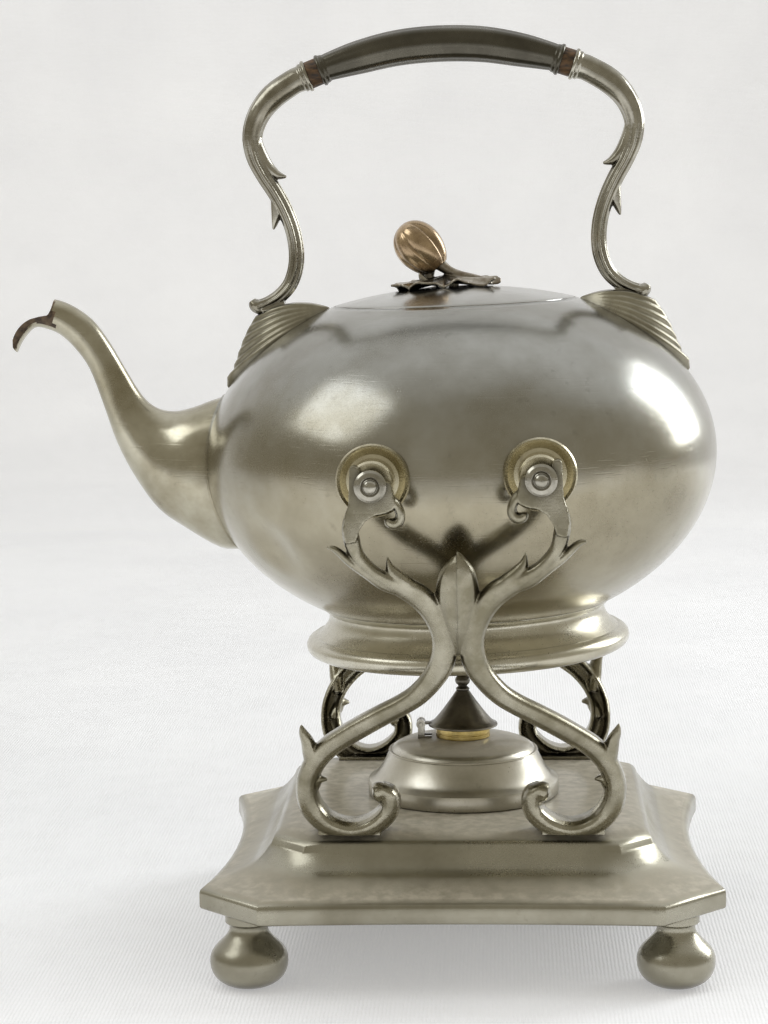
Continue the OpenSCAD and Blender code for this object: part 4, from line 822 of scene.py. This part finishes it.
ring_pewter = pewter("spun pewter", "#d2cebf", "#b6b09b", (0.22, 0.34), grain=0.08,
                     painted_hollow_shade=0.35, cloud=30.0, scratched=0.4)
ring = turned(bmesh.new(), ring_profile, steps=128, place=kettle_hang, closed=True)
finish_piece(new_object("foot_ring", ring, ring_pewter, sharp=32), "kettle", "pewter",
             "kettle_foot_ring")

# Spout: a seamed swan neck of pewter sheet, soldered to the body along a thin raised line. Its
# mouth is cut away above, so that the lower side runs out as a pouring lip.
root_half_w = 20
neck_half_w = 6.3
# Stations in the kettle's middle plane: x and height over the widest line of the upper edge, the
# same of the lower edge, and half width
spout_stations = [
    (-91, 27, -88, -34, root_half_w), (-98, 25, -96.5, -33, root_half_w * 0.98),
    (-104.5, 22.9, -110, -24.5, between(neck_half_w, root_half_w, 0.86)),
    (-112, 21.6, -120, -16.8, between(neck_half_w, root_half_w, 0.62)),
    (-118.9, 23.2, -128.6, -4.2, between(neck_half_w, root_half_w, 0.34)),
    (-124.4, 28.2, -135.3, 10, between(neck_half_w, root_half_w, 0.14)),
    (-130, 38, -140, 25.6, neck_half_w), (-136, 49.5, -144.6, 39.6, neck_half_w),
    (-142.6, 59, -150, 48, neck_half_w), (-150.6, 65, -155.6, 53.6, neck_half_w),
    (-157.4, 67.6, -161.6, 56.3, neck_half_w), (-162.5, 67.4, -165.2, 56.6, neck_half_w - 0.2),
    (-168.6, 64.6, -168.3, 54.2, neck_half_w - 0.4),
    (-173.4, 59.2, -170.9, 50.8, neck_half_w - 0.8),
    (-175.8, 54, -172.8, 47.2, neck_half_w - 1.4)]
spout_wall = 1.3
crust_end_x = -158.4
crust_over = 1.9


def spout_rings(stations, shrink, parts, around):
    rings = []
    for ux, uz, lx, lz, half_w in run_smooth(stations, parts):
        upper, lower = Vector((ux, 0, body_z + uz)), Vector((lx, 0, body_z + lz))
        middle, reach = (upper + lower) / 2, (upper - lower) / 2
        reach *= (reach.length - shrink) / reach.length
        rings.append([(middle + reach * c + Vector((0, (half_w - shrink) * s, 0))) * mm
                      for c, s in (on_oval(360 * k / around) for k in range(around))])
    return rings


golden_pewter = pewter("sheet pewter, golden with tarnish", "#bdb8a5", "#958d75", (0.15, 0.27),
                       grain=0.05, painted_hollow_shade=0.5, cloud=26.0, scratched=0.4)
spout = new_object("swan_neck_spout", lofted(bmesh.new(), spout_rings(spout_stations, 0, 4, 40)),
                   golden_pewter, sharp=50)
run_out = tuple(a + (a - b) * 0.8 for a, b in zip(spout_stations[-1], spout_stations[-2]))
cut_away(spout, lofted(bmesh.new(), spout_rings(spout_stations + [run_out], spout_wall, 4, 32)))
# The cut runs from the top of the mouth down to the tip of the lip
lip_cut = [(-156.6, 76), (-156.9, 67.6), (-157.6, 64.2), (-159.4, 61.4), (-162.4, 60.9),
           (-166, 60.3), (-169.6, 58.2), (-172.2, 55.2), (-173.6, 52.4), (-174, 46), (-190, 46),
           (-190, 76)]
lip_run = [lip_cut[0]] + [tuple(p) for p in run_smooth(lip_cut[1:-3], 3)] + lip_cut[-3:]
cut_away(spout, lofted(bmesh.new(), [[Vector((x, y, body_z + z)) * mm for x, z in lip_run]
                                     for y in (-20, 20)]))
cut_away(spout, body_solid(solder_gap))
spout = set_in_place(spout, kettle_hang, sharp=38)
# Old drink has left a brown crust inside the lip and along its sides, duller than the metal
crust, tree, shader = new_material("brown crust of old drink")
mottle = add(tree, "TexNoise", (add(tree, "TexCoord").outputs["Object"], 400.0, 4.0, 0.6))
feed(shader, {"Base Color": toned(tree, mottle, "#3a2c20", "#75624c"), "Roughness": 0.55})
spout.data.materials.append(crust)
underside = [kettle_hang @ (Vector((s[2], 0, body_z + s[3])) * mm)
             for s in run_smooth(spout_stations, 4)]
for face in spout.data.polygons:
    below = min(underside, key=lambda point: abs(point.x - face.center.x))
    if face.center.x < crust_end_x * mm and face.center.z > below.z + crust_over * mm:
        face.material_index = 1
finish_piece(spout, "kettle", "pewter", "spout")

# Solder line: a thin raised rim of soft solder, run round the spout where it meets the body and
# wiped smooth.
seam_rise = 0.75
spout_root = spout_stations[:4]
seam = new_object("spout_seam", lofted(bmesh.new(), spout_rings(spout_root, -seam_rise, 4, 40)),
                  spun_pewter)
cut_away(seam, body_solid(0.05))
cut_away(seam, body_solid(seam_rise), "INTERSECT")
cut_away(seam, lofted(bmesh.new(), spout_rings(spout_root, 0.4, 4, 40)))
seam = set_in_place(seam, kettle_hang, sharp=38)
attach(seam, "kettle")

# Lid: a shallow spun dome that closes flush with the shoulder, so that only a dark hairline
# shows round it. A short collar under it keeps it in the mouth.
lid_edge_z = shoulder_z(lid_r)
lid_top_z = lid_edge_z + lid_rise
lid_sphere_r = (lid_r ** 2 + lid_rise ** 2) / (2 * lid_rise)
seat_ring_z = lid_edge_z - wall - 0.6


def lid_z(r):
    return lid_top_z - lid_sphere_r + math.sqrt(lid_sphere_r ** 2 - r * r)


lid_profile = (
    [(2.15, lid_top_z - 0.02)]
    + [(r, lid_z(r)) for r in (3 + (lid_r - 3.4) * k / 22 for k in range(23))]
    + [(lid_r - 0.12, lid_z(lid_r) - 0.05), (lid_r, lid_z(lid_r) - 0.3),
       (lid_r, seat_ring_z + 0.12), (lid_r - 1.6, seat_ring_z + 0.12)]
    + [(r, lid_z(r) - wall) for r in (lid_r - 1.6 - (lid_r - 4) * k / 12 for k in range(13))]
    + [(2.15, lid_top_z - wall)])
lid = turned(bmesh.new(), lid_profile, steps=128, place=kettle_hang, closed=True)
finish_piece(new_object("lid_spun_dome", lid, spun_pewter, sharp=35), "lid", "pewter",
             "lid_dome")

# Finial: a ribbed nut, leaning on its short stalk over a ruffled leaf. All of it is cast pewter,
# the nut brown with lacquer and handling, the leaf bright on its edges, with painted shade in its
# folds.
leaf_x = -3
leaf_half_l = 20.5
leaf_half_w = 13
leaf_base_z = lid_top_z + 0.5
nut_middle = Vector((-12.2, 0, leaf_base_z + 14.6))
nut_half_l = 11.8
nut_r = 9.4
nut_ribs = 7
nut_tilt = math.radians(40)
leaf_around = 108
leaf_shares = [0.04, 0.14, 0.28, 0.42, 0.56, 0.7, 0.82, 0.92, 1.0]


def leaf_point(angle, share, up):
    a = math.radians(angle)
    lobes = 1 + 0.1 * math.cos(9 * a) - 0.07 * math.cos(4 * a) + 0.035 * math.cos(23 * a + 1)
    reach = 1 + (lobes - 1) * held(share * 1.4 - 0.2)
    x = leaf_x + leaf_half_l * reach * share * math.cos(a)
    y = leaf_half_w * reach * share * math.sin(a)
    ruffle = share ** 2 * (1.25 * (1 + math.sin(9 * a + 0.7)) + 0.5 * math.sin(17 * a))
    vein = (-0.35 * share * (1 - share) * 4 * abs(math.sin(4.5 * a))
            + 0.25 * math.sin(31 * a) * share * (1 - share))
    return Vector((x, y, lid_z(math.hypot(x, y)) + 0.15 + ruffle + 1.1 * (1 - share)
                   + up * (between(3.4, 1, share) + vein))) * mm


def in_middle_plane(x, z, y):
    return Vector((x, y, z)) * mm


def on_leaf(*stations):
    """Stations given by their height over the middle of the leaf."""
    return [(x, leaf_base_z + z, a, b) for x, z, a, b in stations]


bm = lofted(bmesh.new(), [
    [leaf_point(360 * k / leaf_around, share, up) for k in range(leaf_around)]
    for share, up in [(s, 0) for s in leaf_shares] + [(s, 1) for s in leaf_shares[::-1]]])
for stem in (on_leaf((12, 1.2, 1.3, 1.6), (7, 2.3, 1.8, 2), (2.6, 3.5, 1.8, 1.9),
                     (-1.6, 5.4, 1.9, 2), (-4.6, 7.6, 2.4, 2.4), (-7.4, 9.8, 2.6, 2.6)),
             on_leaf((-10.4, 0.6, 2.6, 3), (-9.4, 4, 1.9, 2.2), (-8.8, 8, 2.4, 2.6))):
    swept(bm, stem, round_outline, in_middle_plane)
for y in (-4.2, 4.2):
    curl = on_leaf((-9.6, 1, 1.4, 1), (-11.2, 2, 1.5, 1), (-12.4, 3.6, 1.2, 0.9),
                   (-13, 5.2, 0.5, 0.5))
    swept(bm, curl, round_outline, lambda x, z, depth: in_middle_plane(x, z, y + depth), 3)
# Ambient occlusion lays painted shade into the leaf's folds
leaf_pewter = pewter("cast pewter, painted shade in its folds", "#c4beb1", "#8b7f6e", (0.22, 0.36),
                     grain=0.35, painted_hollow_shade=0.85, cloud=7.0, scratched=0.1)
leaf = new_object("finial_ruffled_leaf", bm, leaf_pewter, sharp=60)
fused(leaf, 0.32, 2)
leaf = set_in_place(leaf, kettle_hang, sharp=60)
finish_piece(leaf, "lid", "brown_pewter", "finial_leaf")

nut_rings = []
nut_around = nut_ribs * 16
for k in range(41):
    a = math.radians(between(-58, 88.5, k / 40))
    swell = nut_r * math.cos(a) * (1 + 0.1 * math.sin(a))
    ring_points = []
    for j in range(nut_around):
        b = 2 * math.pi * j / nut_around
        groove = (0.5 - 0.5 * math.cos(nut_ribs * b)) ** 0.35
        raised = (0.5 + 0.5 * math.cos(nut_ribs * b + 0.55)) ** 12
        r = swell * (0.885 + 0.1 * groove + 0.03 * raised)
        ring_points.append(
            Vector((r * math.cos(b), r * math.sin(b), nut_half_l * math.sin(a))) * mm)
    nut_rings.append(ring_points)
nut = lofted(bmesh.new(), nut_rings)
bmesh.ops.transform(nut, matrix=kettle_hang @ shifted(*nut_middle)
                    @ Matrix.Rotation(-nut_tilt, 4, "Y"), verts=nut.verts)
nut_pewter = pewter("cast pewter under brown lacquer", "#ccb28e", "#937c5f", (0.18, 0.3),
                    grain=0.1, painted_hollow_shade=0.9, cloud=9.0, scratched=0.2)
finish_piece(new_object("finial_ribbed_nut", nut, nut_pewter, sharp=60), "lid",
             "brown_pewter", "finial_fruit")

# Brackets: stepped pewter leaves under the handle's feet. Six pointed steps fan out from a tip
# beside the lid, each with a rounded edge, and are soldered to the shoulder.
steps = 6
step_low_l = 48.5
step_top_l = 29.5
step_low_half_w = 12
step_top_half_w = 6.5
bracket_tip = (49, shoulder_z(49) + 0.4)
# Ambient occlusion lays painted shade between the overlapping steps
bracket_pewter = pewter("cast pewter, painted shade between its steps", "#a8a390", "#7d7763",
                        (0.28, 0.4), grain=0.2, painted_hollow_shade=1.0, cloud=18.0, scratched=0.2)


def bracket_step(bm, t):
    """One step: a pointed leaf, arched along its length, with rounded long edges."""
    length = between(step_low_l, step_top_l, t ** 0.8)
    half_w = between(step_low_half_w, step_top_half_w, t)
    slope = math.radians(between(31.4, 4.9, t ** 1.2))
    rise = between(2.4, 3.5, t)
    chord = length + 2.4
    arc_r = (chord ** 2 / 4 + half_w ** 2) / (2 * half_w)
    turn = shifted(bracket_tip[0], 0, bracket_tip[1]) @ Matrix.Rotation(slope, 4, "Y")
    rings = []
    for k in range(25):
        x = between(0.02, chord - 0.02, k / 24)
        w = max(0.12, math.sqrt(arc_r ** 2 - (x - chord / 2) ** 2) - arc_r + half_w)
        along = min(1.0, x / length)
        top = rise * 4 * along * (1 - along) - max(0.0, x - length) * 1.4
        edge = min(1.5, 0.75 * w)
        half = [(w, -11), (w, top - 1.2), (w - 0.12 * edge, top - 0.62),
                (w - 0.4 * edge, top - 0.18), (w - edge, top)]
        ring = [(-y, z) for y, z in half] + [(0, top + 0.05)] + half[::-1]
        rings.append([turn @ (Vector((x, y, z)) * mm) for y, z in ring])
    lofted(bm, rings)


def hung(side, offset=0):
    """Mirrors a piece drawn for the right side, and hangs it with the kettle."""
    return kettle_hang @ Matrix.Diagonal((side, 1, 1, 1)) @ shifted(offset, 0, 0)


for side_name, side in (("left", -1), ("right", 1)):
    bm = bmesh.new()
    for i in range(steps):
        bracket_step(bm, i / (steps - 1))
    bracket = new_object(f"stepped_bracket_{side_name}", bm, bracket_pewter)
    fused(bracket, 0.3, 1)
    cut_away(bracket, body_solid(solder_gap))
    bracket = set_in_place(bracket, hung(side), sharp=60)
    finish_piece(bracket, "kettle", "pewter", f"bracket_{side_name}")

# Handle legs: cast pewter scrolls, round and smooth above, reeded below, with small spurs on the
# bends. Each ends in a rolled toe on its bracket and in a beaded collar at the grip.
handle_offset = 2
band_x = 48.9
band_z = body_z + 150.4
band_slope = math.radians(20)
band_l = 4.4
band_r = 5.3
toe_z = body_z + 62.2


def along_band(d, a, b=None):
    return (band_x + math.cos(band_slope) * d, band_z - math.sin(band_slope) * d, a, b or a)


def leg_part(base_z, *stations):
    """Stations given by their height over the band or the toe."""
    return [(x, base_z + z, a, b) for x, z, a, b in stations]


leg_stations = (
    [along_band(band_l / 2, band_r - 0.3), along_band(5.5, band_r - 0.3),
     along_band(8.5, band_r - 0.35)]
    + leg_part(band_z, (65, -8, 5, 5.3), (70.9, -14.6, 4.5, 5), (73.9, -22.6, 4, 4.7),
               (73.4, -30.6, 3.6, 4.5), (70.4, -37.8, 3.3, 4.4), (66.2, -44.8, 3.3, 4.4),
               (62.6, -52, 3.2, 4.4))
    + leg_part(toe_z, (60, 28.6, 3.1, 4.4), (58.9, 21, 3.1, 4.4), (59.4, 14, 3.1, 4.4),
               (61.8, 7.6, 3, 4.5), (65.8, 3.2, 2.9, 4.7), (70.6, 0.4, 2.7, 4.9),
               (75, -1, 2.7, 5.1)))
leg_spurs = [
    leg_part(band_z, (72.4, -23, 1.8, 2.6), (71.4, -28, 2.2, 3), (68.8, -34.4, 2.4, 3.1),
             (65.6, -37.9, 1.9, 2.6), (63.4, -38.9, 1.3, 1.9), (61.4, -39.2, 0.5, 0.9)),
    leg_part(band_z, (66.6, -43, 1.6, 2.4), (66, -47.5, 2.1, 3), (66, -53, 2.1, 2.8),
             (66.8, -57, 1.3, 2), (67.5, -59.4, 0.4, 0.8)),
    leg_part(toe_z, (72, -1, 2.8, 4.6), (74.4, -1.1, 3, 4.8), (76.2, 0.1, 2.7, 4.5),
             (77.3, 1.6, 1.5, 3.2)),
    leg_part(toe_z, (64, -0.4, 2.2, 3.8), (68, -1.6, 2.9, 4.5), (73, -2.3, 2.6, 4.8))]


def reeded(at):
    """Outline of the leg: round at the grip, with eight reeds round it lower down."""
    share = held((band_z - 10 - at[1]) / 20)
    depths = [(a, 1 - share * 0.2 * (0.5 + 0.5 * math.cos(math.radians(8 * a) + math.pi)) ** 1.6)
              for a in (7.5 * k for k in range(48))]
    return [on_oval(a, depth, depth) for a, depth in depths]


def band_end(side, d):
    """Frame at a distance along the handle from the middle of a band, on either side."""
    x, z, _, _ = along_band(d, 1)
    return (Matrix.Diagonal((side, 1, 1, 1)) @ shifted(x, 0, z)
            @ Matrix.Rotation(math.pi / 2 + band_slope, 4, "Y"))


def bead(bm, side, d, r, thick):
    """A rounded ring round the handle, beside a band."""
    part = turned(bmesh.new(), [(0, -thick)] + [
        on_oval(a, thick * 0.9, thick, (r - thick * 0.6, 0)) for a in range(-90, 91, 18)]
        + [(0, thick)], steps=48, place=band_end(side, d))
    mesh = bpy.data.meshes.new("bead")
    part.to_mesh(mesh)
    part.free()
    bm.from_mesh(mesh)


# Ambient occlusion lays painted shade deep into the reeds
leg_pewter = pewter("cast pewter, painted shade in its reeds", "#b8b4a7", "#807a69", (0.13, 0.26),
                    grain=0.08, painted_hollow_shade=1.0, cloud=16.0, scratched=0.3)
for side_name, side in (("left", -1), ("right", 1)):
    bm = swept(bmesh.new(), leg_stations, reeded, in_middle_plane)
    for spur in leg_spurs:
        swept(bm, spur, round_outline, in_middle_plane)
    bead(bm, 1, band_l / 2 + 0.75, band_r + 0.75, 0.8)
    bead(bm, 1, band_l / 2 + 2.4, band_r + 0.15, 0.6)
    leg = new_object(f"scroll_leg_{side_name}", bm, leg_pewter)
    fused(leg, 0.28, 2)
    cut_away(leg, block((0, 0, 0), (30, 30, 20), band_end(1, band_l / 2 + 0.02 - 10)))
    leg = set_in_place(leg, hung(side, -side * handle_offset), sharp=60)
    finish_piece(leg, "kettle", "pewter", f"handle_leg_{side_name}")

# Grip: a hollow pewter arch, held to the legs through two heat-stopping bands. Its section is
# soft and slightly ridged, so that light breaks into long bands along it.
grip_z = body_z + 159.5
grip_half_t = 7
half_grip = [
    (grip_half_t * 2.3, grip_z - 0.9, 6.9, 6.9), (grip_half_t * 4.4, grip_z - 3.7, 6.5, 6.5),
    along_band(-7.5, band_r + 0.2), along_band(-4.5, band_r - 0.15),
    along_band(-band_l / 2, band_r - 0.2)]
grip_stations = ([(-x, z, a, b) for x, z, a, b in reversed(half_grip)]
                 + [(0, grip_z, 7, 7)] + half_grip)
ridged_outline = []
for a in (7.5 * k for k in range(48)):
    flat = 1 - 0.045 * (0.5 - 0.5 * math.cos(math.radians(8 * a))) ** 1.5
    ridged_outline.append(on_oval(a, flat, flat))
bm = swept(bmesh.new(), grip_stations, ridged_outline, in_middle_plane, 6)
for side in (-1, 1):
    bead(bm, side, -band_l / 2 - 0.75, band_r + 0.75, 0.8)
    bead(bm, side, -band_l / 2 - 2.4, band_r + 0.2, 0.6)
grip_pewter = pewter("polished pewter, dulled by hands", "#625e52", "#464237", (0.22, 0.34),
                     grain=0.06, painted_hollow_shade=0.5, cloud=30.0, scratched=0.4)
grip = new_object("arched_grip", bm, grip_pewter)
fused(grip, 0.35, 2)
for side in (-1, 1):
    cut_away(grip, block((0, 0, 0), (30, 30, 20), band_end(side, 10 - band_l / 2 - 0.02)))
grip = set_in_place(grip, hung(1, -handle_offset), sharp=60)
finish_piece(grip, "kettle", "dark_pewter", "handle_grip")


def stained_bone():
    """Bone or hard fibre: brown, fibrous along the handle, and dull."""
    material, tree, shader = new_material("brown heat-stopping band")
    place = add(tree, "TexCoord").outputs["Object"]
    drawn = add(tree, "Mapping", {"Vector": place, "Scale": (300.0, 900.0, 900.0)})
    fibre = add(tree, "TexNoise", (drawn, 1.0, 4.0))
    feed(shader, {
        "Base Color": toned(tree, fibre, "#33261a", "#6e5234"), "Roughness": 0.5,
        "Normal": add(tree, "Bump", {"Height": fibre, "Strength": 0.6, "Distance": 0.25 * mm})})
    return material


bone = stained_bone()

# Trunnions: dished flanges soldered to the body, each with a stepped boss and a buttoned pin,
# all turned from pewter. The flanges were bronzed, and are warmer than the body. The hinge and
# the seat ring are of plain pewter.
flange_pewter = pewter("turned pewter, yellowed", "#d9d1b6", "#b9b092", (0.18, 0.3), grain=0.1,
                       painted_hollow_shade=0.3, cloud=12.0, scratched=0.3)
small_pewter = pewter("turned pewter", "#b4b0a4", "#8a8679", (0.14, 0.26), grain=0.08,
                      painted_hollow_shade=0.8, cloud=9.0, scratched=0.3)
solid_looks = {
    "insulator": bone, "trunnion_flange": flange_pewter, "trunnion_pin": small_pewter,
    "snuffer_": small_pewter, "finial_stud": small_pewter, "lid_seat_ring": ring_pewter,
    "lid_bezel": ring_pewter, "body_hinge": ring_pewter, "lid_hinge_": ring_pewter,
    "burner_bottom": ring_pewter}
for node, shown in frame["nodes"].items():
    for start, material in solid_looks.items():
        if node.startswith(start):
            shown.data.materials.clear()
            shown.data.materials.append(material)
